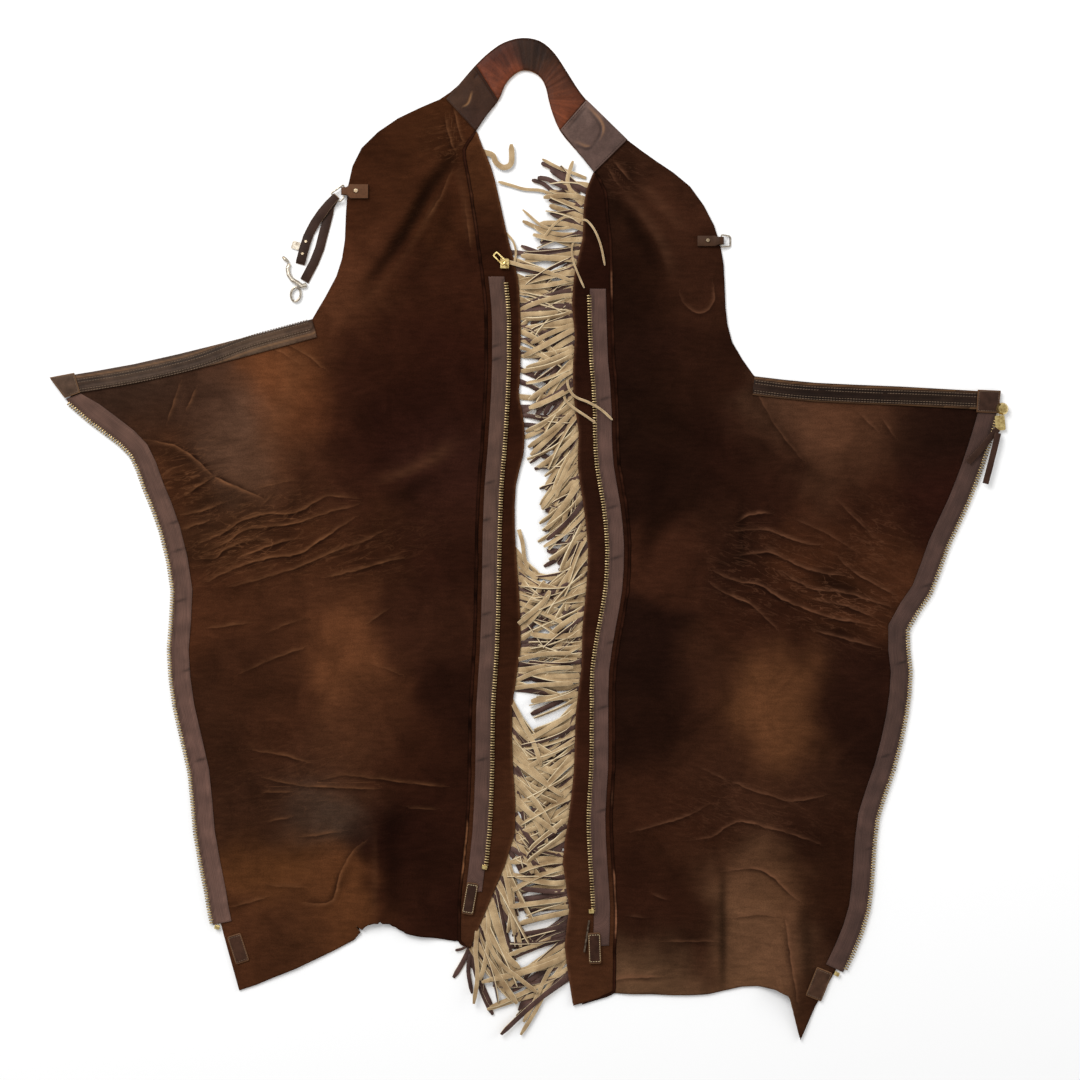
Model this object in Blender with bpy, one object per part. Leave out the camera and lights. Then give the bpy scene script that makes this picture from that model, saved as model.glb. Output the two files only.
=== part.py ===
"""Fringed suede chaps, opened out and laid flat with the flesh side up.

Frame: +Z up, the waist at +Y, the hems at -Y, the wearer's right leg at -X.  The origin is the
centre of the laid-out garment on the surface that it rests on.  All tables are in millimetres.
"""
import math

import bmesh
import bpy
from mathutils import Vector

MM = 0.001

# Walls and gaps, in millimetres.
SUEDE = 1.6
BELT_PLY = 1.6
BAND = 1.4
STRAP = 1.4
TAPE = 0.8
FRINGE = 1.4
GAP = 0.3
SEAM_GAP = 0.3

# Levels, counted up from the surface.
ON_PANEL = SUEDE + GAP
FRINGE_LIFT = FRINGE + GAP
ON_BAND = ON_PANEL + BAND + GAP
ON_BAND_END = ON_BAND + BAND + GAP

# Widths, in millimetres.
TAPE_INSET = 6.5
TAPE_WIDTH = 17.0
OUTER_TAPE_LAP = 12.0
OUTER_TAPE_REACH = 8.0
TAPE_SQUEEZE = 0.8
BAND_WIDTH = 20.0
FRINGE_ROOT = 10.0
FRINGE_ROOT_SHARE = 0.7
FRINGE_BEND = 8.0
FRINGE_REACH = 42.0
BELT_LIP = 1.4
STRAP_WIDTH = 10.0

ROW_STEPS = 2
FOLD_FREE_COLUMN = 0.077
FOLD_FADE = 0.12

# One leg: a section runs from the placket seam to the outer edge, and goes on inwards as the
# placket, whose free edge carries the fringe.  A corner section keeps its turn sharp.
# section, seam x, seam y, outer x, outer y, fringe edge x, fringe edge y, corner
LEFT_SECTIONS = [
    ("yoke_end", -47, 453, -77, 485, -47, 453, True),
    ("patch_foot", -60, 433, -97, 470, -57, 436, False),
    ("gather", -71, 416, -141, 450, -50, 418, False),
    ("hip_top", -68, 395, -180, 418, -41, 396, False),
    ("ring", -63, 367, -195, 376, -34, 369, False),
    ("hip_mid", -57, 324, -198, 320, -24, 324, False),
    ("hip_low", -51, 281, -207, 281, -13, 280, False),
    ("crotch", -48, 251, -233, 235, -11, 250, True),
    ("wing_in", -47, 232, -326, 210, -10, 230, False),
    ("wing_mid", -47, 209, -423, 187, -10, 207, False),
    ("wing_tip", -47, 187, -510, 172, -10, 185, True),
    ("wing_low", -48, 157, -489, 150, -12, 153, True),
    ("kink", -50, 123, -447, 119, -6, 122, False),
    ("wing_foot", -52, 93, -419, 94, -7, 90, False),
    ("thigh", -55, 57, -404, 57, -15, 57, False),
    ("above_knee", -57, 7, -386, 10, -16, 7, False),
    ("knee", -58, -55, -373, -55, -12, -55, False),
    ("below_knee", -60, -119, -377, -119, -10, -117, False),
    ("calf_top", -64, -183, -371, -179, -19, -179, False),
    ("calf", -65, -247, -355, -249, -18, -247, False),
    ("shin", -68, -314, -349, -314, -16, -314, False),
    ("ankle", -75, -376, -337, -378, -39, -378, False),
    ("stop", -76, -408, -331, -411, -52, -409, False),
    ("hem", -76, -431, -311, -483, -64, -438, True),
]
RIGHT_SECTIONS = [
    ("yoke_end", 50, 415, 78, 450, 50, 415, True),
    ("patch_foot", 72, 389, 104, 427, 68, 392, False),
    ("gather", 81, 371, 135, 404, 60, 372, False),
    ("hip_top", 83, 348, 171, 377, 57, 348, False),
    ("ring", 86, 320, 197, 335, 56, 320, False),
    ("hip_mid", 87, 286, 207, 294, 48, 286, False),
    ("hip_low", 88, 249, 209, 249, 45, 249, False),
    ("crotch_in", 89, 215, 216, 211, 48, 217, False),
    ("crotch", 90, 189, 240, 174, 46, 189, True),
    ("wing_in", 92, 168, 305, 167, 46, 168, False),
    ("wing_mid", 93, 151, 396, 163, 47, 149, False),
    ("wing_tip", 94, 134, 500, 157, 49, 134, True),
    ("wing_low", 94, 112, 485, 112, 52, 112, False),
    ("wing_foot", 96, 78, 474, 78, 51, 78, False),
    ("thigh", 103, 37, 458, 37, 57, 37, False),
    ("above_knee", 107, -6, 438, -6, 62, -10, False),
    ("kink", 105, -55, 420, -55, 60, -55, False),
    ("knee", 98, -95, 395, -95, 56, -95, False),
    ("below_knee", 91, -142, 398, -142, 55, -138, False),
    ("calf_top", 90, -194, 393, -190, 49, -185, False),
    ("calf", 90, -245, 380, -245, 47, -247, False),
    ("shin", 87, -296, 363, -296, 41, -299, False),
    ("ankle", 89, -346, 358, -346, 35, -346, False),
    ("low", 92, -393, 353, -395, 42, -395, False),
    ("stop", 91, -435, 338, -438, 37, -435, False),
    ("hem", 90, -486, 316, -482, 46, -499, True),
]
# The cut edge at the hem, one point for each column, from the seam outwards.
LEFT_HEM = [
    (-76, -431), (-100, -427), (-118, -425), (-132, -422), (-146, -410), (-160, -408), (-176, -414),
    (-188, -429), (-209, -440), (-230, -450), (-251, -460), (-274, -469), (-293, -477), (-311, -483),
]
RIGHT_HEM = [
    (90, -486), (111, -487), (131, -487), (151, -488), (171, -488), (190, -487), (208, -483),
    (226, -479), (244, -478), (262, -481), (277, -488), (289, -536), (305, -500), (316, -482),
]
# The largest folds: soft ridges, each from one end of its crest to the other.
# fold, start x, start y, end x, end y, half width at start, at end, height at start, at end
FOLDS = [
    ("left_hip", -96, 385, -158, 296, 24, 30, 7, 6),
    ("left_wing_dome", -310, 140, -250, 128, 55, 62, 4, 5),
    ("left_wing_step", -400, 92, -315, 56, 16, 20, 5, 3),
    ("left_thigh_upper", -340, 2, -225, 62, 15, 18, 4, 4),
    ("left_thigh_lower", -325, -42, -155, 28, 16, 20, 4, 4),
    ("left_knee_dome", -222, -105, -202, -165, 75, 80, 8, 9),
    ("left_shin", -268, -232, -100, -266, 18, 22, 3, 4),
    ("left_hem_outer", -176, -300, -166, -420, 16, 24, 3, 10),
    ("left_hem_inner", -126, -318, -121, -424, 16, 22, 2, 7),
    ("right_hip", 108, 356, 152, 280, 18, 22, 5, 5),
    ("right_leg_step", 252, 122, 300, 70, 17, 20, 4, 5),
    ("right_thigh_dome", 154, -10, 158, -28, 42, 46, 7, 8),
    ("right_wing_dome", 296, 100, 340, 84, 36, 40, 4, 4),
    ("right_thigh_upper", 232, 22, 330, -14, 15, 18, 4, 4),
    ("right_thigh_lower", 206, -40, 318, -72, 15, 18, 4, 3),
    ("right_shin", 182, -326, 296, -318, 18, 20, 3, 4),
    ("right_hem_flute", 256, -372, 280, -522, 22, 20, 3, 18),
]

# How far each fringe and each inner zip tape runs: top y, bottom y.
FRINGE_SPANS = {"fringe_l": (396, -420), "fringe_r": (380, -460)}
INNER_TAPE_SPANS = {"zip_tape_inner_l": (287, -380), "zip_tape_inner_r": (270, -440)}
# Outer zip tapes: leg, side, inner and outer corner under the band's end, and the steps of the
# leg's outer edge that are left out after them and before the hem.
OUTER_TAPES = {
    "zip_tape_outer_l": ("left", -1, (-480.8, 155.8), (-497, 149.5), 1, 2),
    "zip_tape_outer_r": ("right", 1, (479.5, 136.8), (499, 134.8), 0, 1),
}

# The belt, a curved back strap of two plies, from the left patch over the top to the right one.
# outer x, outer y, inner x, inner y
BELT_SECTIONS = [
    (-77, 485, -47, 453), (-58, 507, -34, 469), (-43, 521, -27, 485), (-28, 531, -19, 495),
    (-9, 536, -9, 501), (10, 533, 2, 500), (25, 521, 11, 494), (38, 502, 17, 483),
    (50, 483, 22, 462), (60, 470, 32, 437), (78, 450, 50, 415),
]
BELT_STEPS = 3
LINING_FIRST = 3
LINING_LAST = 27
# The stitched patches over the ends of the belt, four corners each, and the lip beyond them.
LEFT_PATCH = [(-59.5, 503.5), (-35.5, 467.5), (-58.5, 436.5), (-90, 470.5)]
RIGHT_PATCH = [(32.5, 437.5), (60.5, 469.5), (104, 427), (68.5, 392)]

# Each thigh band is cut off aslant at its outer end, at this place on its lower edge.
BAND_TIPS = {"thigh_band_l": (-490, 155.2), "thigh_band_r": (496, 137.3)}
# A leather tab covers that end: four corners from the tip of the wing.
BAND_ENDS = {
    "band_end_l": [(-513.5, 172.5), (-487, 177.5), (-480.5, 156.5), (-497, 150.5)],
    "band_end_r": [(503, 158.5), (500.5, 134.5), (477, 135.5), (478.5, 159.5)],
}

# Leather tabs on the lower zip ends: centre x, centre y, length, width, turn in degrees.
ZIP_ENDS = {
    "zip_end_inner_l": (-64, -384, 34, 12, 80),
    "zip_end_inner_r": (69, -437, 33, 13, 92),
    "zip_end_outer_l": (-312, -438, 31, 15, -72),
    "zip_end_outer_r": (309, -476, 33, 18, 68),
}

# Ring tabs: panel end x, ring bar x, middle y, width, side that the ring points to.
LEFT_TAB = (-173, -199.0, 371.5, 15, -1)
RIGHT_TAB = (179, 204.5, 318.5, 11, 1)
TAB_PLY = 1.4
TAB_LOOP = 8.0
RING_WIRE = 0.9
RING_BAR_Z = ON_PANEL + TAB_PLY + RING_WIRE + 2 * GAP + 0.2
RING_CORNER = 2.0
RIGHT_RING_REACH = 10.5
RIGHT_RING_DROOP = 22
RIGHT_RING_WIDTH = 13.0
# Rivets with their places and radii.
RING_RIVETS = {"ring_rivet_l": (-186, 372, 2.9), "ring_rivet_r": (190, 319, 2.6)}
RIVET_HEIGHT = 1.3

# The closure strap: x, y, height of its middle, heading and pitch in degrees, width.
STRAP_CLIMB = [
    (-241.5, 276, 0.7, 58, 0, 10), (-231.0, 296, 0.7, 64, 0, 10), (-225.0, 311, 0.7, 74, 0, 10),
    (-221.5, 325, 0.7, 78, 0, 10), (-218.5, 336, 0.7, 74, 0, 10), (-215.5, 348, 0.8, 74, 0, 10),
    (-213.5, 356, 1.6, 60, 15, 9),
]
STRAP_RETURN = [
    (-215.0, 357.5, 5.6, 48, 195, 9), (-222.0, 349, 3.8, 52, 194, 10),
    (-230.0, 338, 1.9, 57, 189, 10), (-236.0, 327, 0.9, 64, 184, 10),
    (-240.0, 316, 0.7, 72, 180, 10), (-244.0, 302, 0.7, 74, 180, 10), (-246.0, 294, 0.7, 74, 180, 10),
]
STRAP_TURN = (-208.0, 364.6, 45, 8)
LEFT_RING = [(-199.0, 378.5), (-212.6, 369.2), (-203.4, 360.0), (-199.0, 363.5)]
KEEPER = [(-237.0, 325), (-240.5, 314), (-243.6, 303), (-245.4, 296)]
STRAP_RIVETS = [(-239.6, 318), (-243.2, 305)]
STRAP_RIVET_RADIUS = 1.9
STRAP_RIVET_HEIGHT = 1.0
SLIDE_THICK = 1.4
SLIDE_PLATE = (-250.6, 314, 8.5, 8.5, -16)

# The trigger snap: x, y and tube radius along its body; its lever and its oval jaw.
SNAP_Z = 2.6
SNAP_BODY = [
    (-238.9, 271.6, 2.5), (-244.0, 270.4, 2.6), (-249.0, 274.2, 2.5), (-254.5, 277.4, 2.4),
    (-258.2, 283.0, 2.4), (-259.2, 289.5, 2.2), (-257.4, 294.5, 1.9),
]
LEVER_PIVOT = (-258.2, 296.2)
LEVER_LENGTH = 8.5
LEVER_TURN = 139
# Along the lever: share of its length, radius.
LEVER_PROFILE = [(0.0, 1.2), (0.2, 1.7), (0.55, 2.0), (0.85, 1.7), (1.0, 1.0)]
JAW_CENTRE = (-250.5, 261.6)
JAW_WIRE = 1.3
JAW_HALF_WIDTH = 5.2
JAW_HALF_LENGTH = 7.6
JAW_TURN = 8
JAW_STEPS = 20

# Zip hardware.
SLIDER_LEFT = (-27.0, 294.0)
SLIDER_LENGTH = 11.0
SLIDER_WIDTH = 9.5
SLIDER_HEIGHT = 3.6
SLIDER_ROUNDING = 0.9
LUG_REACH = 3.4
LUG_WALL = 1.0
LUG_HEIGHT = 3.6
LUG_FOOT = 1.0
LUG_HALF_WIDTH = 0.8
LUG_STEPS = 8
PULL_LENGTH = 15.5
PULL_WIDTH = 6.6
PULL_THICK = 1.2
PULL_FRAME = 1.4
PULL_CORNER = 1.6
PULL_HOLE_CORNER = 0.9
PULL_TURN = 135
PULL_DIP = 3
HINGE_RISE = 1.1
HINGE_BACK = 0.5
SLIDER_RIGHT = (504.5, 139.0)
SLIDER_RIGHT_RADIUS = 6.6
SLIDER_RIGHT_HEIGHT = 3.2
BRASS_PLATE = 1.4
RIGHT_PULL = (502.4, 124.0, 16, 10.5, 95)
THONG_TAILS = [
    [(499.5, 117.5), (489, 105), (478, 92), (468, 82)],
    [(499.5, 113.0), (496, 98), (491, 78), (486, 59)],
]
THONG_WIDTH = 6.5
THONG = 1.6
PIN_LINE = [(63.2, -407.0), (60.6, -424.0), (58.0, -441.0)]
PIN_RADIUS = 1.1
STOPS = {
    "zip_stop_inner_l": (-48.5, -350.5, 78),
    "zip_stop_inner_r": (65.5, -397.5, 92),
    "zip_stop_outer_l": (-334.5, -415.0, 76),
    "zip_stop_outer_r": (327.9, -465.0, 63),
}
STOP_SIZE = (4.4, 5.6, 2.4)
STOP_ROUNDING = 0.5

MATERIALS = {
    "suede": ((0.078, 0.031, 0.014), 0.86, 0.0),
    "suede_dark": ((0.032, 0.012, 0.006), 0.88, 0.0),
    "fringe_suede": ((0.060, 0.027, 0.014), 0.85, 0.0),
    "rust_leather": ((0.120, 0.034, 0.012), 0.42, 0.0),
    "dark_leather": ((0.030, 0.014, 0.009), 0.46, 0.0),
    "mauve_leather": ((0.070, 0.050, 0.042), 0.50, 0.0),
    "zip_tape": ((0.110, 0.066, 0.050), 0.80, 0.0),
    "brass": ((0.560, 0.400, 0.170), 0.34, 1.0),
    "pale_metal": ((0.600, 0.560, 0.500), 0.32, 1.0),
}


def clear_scene():
    """Remove what the scene holds."""
    for item in list(bpy.data.objects):
        bpy.data.objects.remove(item, do_unlink=True)


def make_material(name):
    """One Principled material for one sub-part."""
    colour, roughness, metallic = MATERIALS[name]
    material = bpy.data.materials.get(name)
    if material is None:
        material = bpy.data.materials.new(name)
        material.use_nodes = True
        shader = material.node_tree.nodes["Principled BSDF"]
        shader.inputs["Base Color"].default_value = (*colour, 1.0)
        shader.inputs["Roughness"].default_value = roughness
        shader.inputs["Metallic"].default_value = metallic
    return material


def finish(name, form, material):
    """Turn a finished bmesh into the named object of one sub-part."""
    bmesh.ops.recalc_face_normals(form, faces=form.faces)
    mesh = bpy.data.meshes.new(name)
    form.to_mesh(mesh)
    form.free()
    mesh.materials.append(make_material(material))
    item = bpy.data.objects.new(name, mesh)
    bpy.context.scene.collection.objects.link(item)
    return item


def spline(values, corners, steps):
    """Points on a smooth curve through the given ones; a corner gets no tangent of its own."""
    last = len(values) - 1
    tangents = []
    for index, value in enumerate(values):
        if index in (0, last) or corners[index]:
            tangents.append(value * 0.0)
        else:
            tangents.append((values[index + 1] - values[index - 1]) * 0.5)
    points = []
    for index in range(last):
        start, end = values[index], values[index + 1]
        leave, arrive = tangents[index], tangents[index + 1]
        if index == 0 or corners[index]:
            leave = end - start
        if index + 1 == last or corners[index + 1]:
            arrive = end - start
        for step in range(steps):
            t = step / steps
            points.append(
                start * (2 * t ** 3 - 3 * t ** 2 + 1) + leave * (t ** 3 - 2 * t ** 2 + t)
                + end * (3 * t ** 2 - 2 * t ** 3) + arrive * (t ** 3 - t ** 2)
            )
    points.append(values[last].copy())
    return points


def fold_height(x, y):
    """Height of the folds at one place: each is a rounded ridge along its crest."""
    total = 0.0
    place = Vector((x, y))
    for _, x0, y0, x1, y1, half0, half1, high0, high1 in FOLDS:
        start = Vector((x0, y0))
        crest = Vector((x1, y1)) - start
        along = max(0.0, min(1.0, (place - start).dot(crest) / crest.length_squared))
        off = (place - start - crest * along).length
        half = half0 + (half1 - half0) * along
        if off < half:
            high = high0 + (high1 - high0) * along
            total += high * 0.5 * (1.0 + math.cos(math.pi * off / half))
    return total


def sheet(name, rows, underside, thickness, material):
    """A cloth wall: a grid of rows of (x, y), raised to its underside and thickened upwards."""
    form = bmesh.new()
    grid = []
    for r, row in enumerate(rows):
        grid.append([
            form.verts.new((x * MM, y * MM, underside(r, c, x, y) * MM)) for c, (x, y) in enumerate(row)
        ])
    for near, far in zip(grid, grid[1:]):
        for a, b, c, d in zip(near, near[1:], far[1:], far):
            corners = list(dict.fromkeys((a, b, c, d)))
            form.faces.new(corners)
    thicken(form, thickness)
    return finish(name, form, material)


def thicken(form, thickness):
    """Close an open surface into a wall by extruding it straight up."""
    walls = bmesh.ops.extrude_face_region(form, geom=list(form.faces), use_keep_orig=True)
    lifted = [part for part in walls["geom"] if isinstance(part, bmesh.types.BMVert)]
    bmesh.ops.translate(form, verts=lifted, vec=(0.0, 0.0, thickness * MM))


def flat(level):
    """An underside that lies at one level."""
    return lambda row, column, x, y: level


def section_rows(sections, hem, columns):
    """The leg as a grid: every section crosses from its seam to its outer edge."""
    corners = [section[7] for section in sections]
    tracks = []
    for column in range(columns + 1):
        part = column / columns
        places = []
        for _, seam_x, seam_y, outer_x, outer_y, _, _, _ in sections:
            places.append(Vector((seam_x, seam_y)).lerp(Vector((outer_x, outer_y)), part))
        places[-1] = Vector(hem[column])
        tracks.append(spline(places, corners, ROW_STEPS))
    return [[tuple(track[row]) for track in tracks] for row in range(len(tracks[0]))]


def leg_panel(name, sections, hem, material):
    """The suede leg with its hip yoke and its thigh wing, one cut piece."""
    columns = len(hem) - 1
    rows = section_rows(sections, hem, columns)
    rows[0] = [tuple(Vector(place) + (Vector(rows[1][c]) - Vector(place)).normalized() * SEAM_GAP)
               for c, place in enumerate(rows[0])]

    def underside(row, column, x, y):
        part = column / columns
        room = min(part, 1.0 - part) - FOLD_FREE_COLUMN
        return fold_height(x, y) * max(0.0, min(1.0, room / FOLD_FADE))

    return sheet(name, rows, underside, SUEDE, material)


def placket_tracks(sections):
    """Four lines down the placket: seam, tape edge, tooth line and fringe edge."""
    corners = [section[7] for section in sections]
    tracks = [[], [], [], []]
    for _, seam_x, seam_y, _, _, edge_x, edge_y, _ in sections[1:]:
        seam = Vector((seam_x, seam_y))
        across = Vector((edge_x, edge_y)) - seam
        width = across.length
        across.normalize()
        reach = TAPE_INSET + TAPE_WIDTH
        squeeze = min(1.0, TAPE_SQUEEZE * width / reach)
        for track, distance in zip(tracks, (SEAM_GAP, TAPE_INSET * squeeze, reach * squeeze, width)):
            track.append(seam + across * distance)
    return [spline(track, corners[1:], ROW_STEPS) for track in tracks]


def placket(name, tracks, material):
    """The strip of suede inside the seam, raised a little where it covers the fringe's root."""
    rows = [[tuple(track[row]) for track in tracks] for row in range(len(tracks[0]))]
    levels = (0.0, 0.0, FRINGE_LIFT, FRINGE_LIFT)
    return sheet(name, rows, lambda row, column, x, y: levels[column], SUEDE, material)


def inner_tape(name, tracks, material):
    """The zip tape on a placket, made from the placket's own points and moved out."""
    top, bottom = INNER_TAPE_SPANS[name]
    rows = []
    for row in range(len(tracks[0])):
        pair = [tuple(tracks[1][row]), tuple(tracks[2][row])]
        if bottom <= pair[1][1] <= top:
            rows.append(pair)
    levels = (ON_PANEL, ON_PANEL + FRINGE_LIFT)
    return sheet(name, rows, lambda row, column, x, y: levels[column], TAPE, material)


def edge_rows(line, inwards, outwards, side):
    """Rows across an edge line: a point inside it and one outside it."""
    rows = []
    for index, place in enumerate(line):
        ahead = line[min(index + 1, len(line) - 1)]
        behind = line[max(index - 1, 0)]
        run = (ahead - behind).normalized()
        outside = Vector((run.y, -run.x)) * side
        rows.append([tuple(place - outside * inwards), tuple(place + outside * outwards)])
    return rows


def outer_line(sections, first, last):
    """The outer edge of a leg between two of its sections."""
    names = [section[0] for section in sections]
    places = [Vector((section[3], section[4])) for section in sections]
    corners = [section[7] for section in sections]
    line = spline(places, corners, ROW_STEPS)
    return line[names.index(first) * ROW_STEPS:names.index(last) * ROW_STEPS + 1]


def fringe(name, tracks, free_level, material):
    """A plain slab as long and as deep as the row of strips, hung under the placket's edge."""
    top, bottom = FRINGE_SPANS[name]
    rows = []
    edge, tooth = tracks[3], tracks[2]
    for row, place in enumerate(edge):
        if bottom <= place.y <= top:
            covered = abs(place.x - tooth[row].x)
            across = Vector((math.copysign(1.0, place.x - tooth[row].x), 0.0))
            root = min(FRINGE_ROOT, FRINGE_ROOT_SHARE * covered)
            rows.append([tuple(place + across * d) for d in (-root, GAP, FRINGE_BEND, FRINGE_REACH)])
    levels = (0.0, 0.0, free_level, free_level)
    return sheet(name, rows, lambda row, column, x, y: levels[column], FRINGE, material)


def belt_lines():
    """The outer and inner edge of the belt."""
    sharp = [False] * len(BELT_SECTIONS)
    outer = spline([Vector(row[:2]) for row in BELT_SECTIONS], sharp, BELT_STEPS)
    inner = spline([Vector(row[2:]) for row in BELT_SECTIONS], sharp, BELT_STEPS)
    return outer, inner


def belt_ply(name, outer, inner, lip, level, material):
    """One ply of the belt, wider at its outer edge by the lip."""
    rows = []
    for out, into in zip(outer, inner):
        across = (out - into).normalized()
        rows.append([tuple(into), tuple(out + across * lip)])
    return sheet(name, rows, flat(level), BELT_PLY, material)


def four_corner_piece(name, corners, level, thickness, material):
    """A flat piece with four corners."""
    a, b, c, d = corners
    return sheet(name, [[a, b], [d, c]], flat(level), thickness, material)


def tab(name, placing, level, thickness, material, corner=1.5):
    """A small rectangular leather piece with rounded corners."""
    x, y, length, width, turn = placing
    outline = rounded_rectangle(length, width, corner, 3)
    form = bmesh.new()
    form.faces.new([form.verts.new((px * MM, py * MM, 0.0)) for px, py in outline])
    thicken(form, thickness)
    item = finish(name, form, material)
    item.location = (x * MM, y * MM, level * MM)
    item.rotation_euler = (0.0, 0.0, math.radians(turn))
    return item


def rounded_rectangle(length, width, corner, steps):
    """Points round a rectangle with rounded corners, centred on the origin."""
    points = []
    for quarter, (sx, sy) in enumerate(((1, 1), (-1, 1), (-1, -1), (1, -1))):
        centre = Vector((sx * (length / 2 - corner), sy * (width / 2 - corner)))
        for step in range(steps + 1):
            angle = math.pi / 2 * (quarter + step / steps)
            points.append(tuple(centre + Vector((math.cos(angle), math.sin(angle))) * corner))
    return points


def wire(name, points, radii, closed, material, sides=3):
    """A round bar along a line of points; each point has its radius."""
    curve = bpy.data.curves.new(name, "CURVE")
    curve.dimensions = "3D"
    curve.bevel_depth = MM
    curve.bevel_resolution = sides
    curve.use_fill_caps = not closed
    line = curve.splines.new("POLY")
    line.points.add(len(points) - 1)
    for node, point, radius in zip(line.points, points, radii):
        node.co = (point[0] * MM, point[1] * MM, point[2] * MM, 1.0)
        node.radius = radius
    line.use_cyclic_u = closed
    curve.materials.append(make_material(material))
    item = bpy.data.objects.new(name, curve)
    bpy.context.scene.collection.objects.link(item)
    return item


def strap(name, path, thickness, material):
    """A leather strap along a path that may turn over: a closed sleeve of cross-sections."""
    form = bmesh.new()
    loops = []
    for x, y, z, heading, pitch, width in path:
        h, p = math.radians(heading), math.radians(pitch)
        side = Vector((-math.sin(h), math.cos(h), 0.0))
        up = Vector((-math.cos(h) * math.sin(p), -math.sin(h) * math.sin(p), math.cos(p)))
        middle = Vector((x, y, z))
        loop = []
        for a, b in ((-0.5, -0.5), (0.5, -0.5), (0.5, 0.5), (-0.5, 0.5)):
            loop.append(form.verts.new((middle + side * a * width + up * b * thickness) * MM))
        loops.append(loop)
    for near, far in zip(loops, loops[1:]):
        for k in range(4):
            m = (k + 1) % 4
            form.faces.new((near[k], near[m], far[m], far[k]))
    form.faces.new(loops[0])
    form.faces.new(reversed(loops[-1]))
    return finish(name, form, material)


def ring_wrap():
    """The half turn that the closure strap makes round the left ring's free bar."""
    x, y, heading, width = STRAP_TURN
    loop = STRAP / 2 + RING_WIRE + GAP + 0.1
    turn = math.radians(heading)
    path = []
    for step in range(5):
        angle = math.radians(45 * step)
        reach = loop * math.sin(angle)
        path.append((x + reach * math.cos(turn), y + reach * math.sin(turn),
                     RING_BAR_Z - loop * math.cos(angle), heading, 45 * step, width))
    return path


def ring_tab(name, placing, material):
    """A strip folded round the ring's bar, both ends lying on the panel."""
    end_x, bar_x, y, width, side = placing
    loop = TAB_PLY / 2 + RING_WIRE + GAP + 0.2
    low = ON_PANEL + TAB_PLY / 2
    high = low + TAB_PLY + GAP
    heading = 0 if side > 0 else 180
    path = [(end_x, y, low, heading, 0, width), (bar_x - side * 6.0, y, low, heading, 0, width)]
    path.append((bar_x - side * 3.0, y, low, heading, 0, TAB_LOOP))
    path.append((bar_x, y, low, heading, 0, TAB_LOOP))
    for step in range(1, 6):
        angle = math.radians(36 * step)
        reach = bar_x + side * loop * math.sin(angle)
        path.append((reach, y, RING_BAR_Z - loop * math.cos(angle), heading, 36 * step, TAB_LOOP))
    path.append((bar_x - side * 3.0, y, RING_BAR_Z + loop - 0.3, heading, 192, TAB_LOOP))
    path.append((bar_x - side * 7.0, y, high + 0.8, heading, 196, width))
    path.append((bar_x - side * 11.0, y, high, heading, 180, width))
    path.append((end_x, y, high, heading, 180, width))
    return strap(name, path, TAB_PLY, material)


def rounded_loop(corners, radius, level, steps=4):
    """A closed line through corners, each rounded off, at one level."""
    points = []
    count = len(corners)
    for index in range(count):
        here = Vector(corners[index])
        before = (Vector(corners[index - 1]) - here).normalized()
        after = (Vector(corners[(index + 1) % count]) - here).normalized()
        start, end = here + before * radius, here + after * radius
        for step in range(steps + 1):
            t = step / steps
            point = start * (1 - t) ** 2 + here * 2 * t * (1 - t) + end * t ** 2
            points.append((point.x, point.y, level))
    return points


def disc(name, x, y, level, radius, height, material, segments=16):
    """A rivet's head: a low round cap with a softened rim."""
    form = bmesh.new()
    bmesh.ops.create_cone(form, cap_ends=True, segments=segments, radius1=radius * MM,
                          radius2=radius * 0.72 * MM, depth=height * MM)
    item = finish(name, form, material)
    item.location = (x * MM, y * MM, (level + height / 2) * MM)
    return item


def block(name, size, bevel, material):
    """A small metal block with rounded edges, its underside on its origin."""
    length, width, height = size
    form = bmesh.new()
    bmesh.ops.create_cube(form, size=1.0)
    bmesh.ops.scale(form, vec=(length * MM, width * MM, height * MM), verts=form.verts)
    bmesh.ops.translate(form, vec=(0.0, 0.0, height * MM / 2), verts=form.verts)
    item = finish(name, form, material)
    edge = item.modifiers.new("rounded", "BEVEL")
    edge.width = bevel * MM
    edge.segments = 2
    return item


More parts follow.
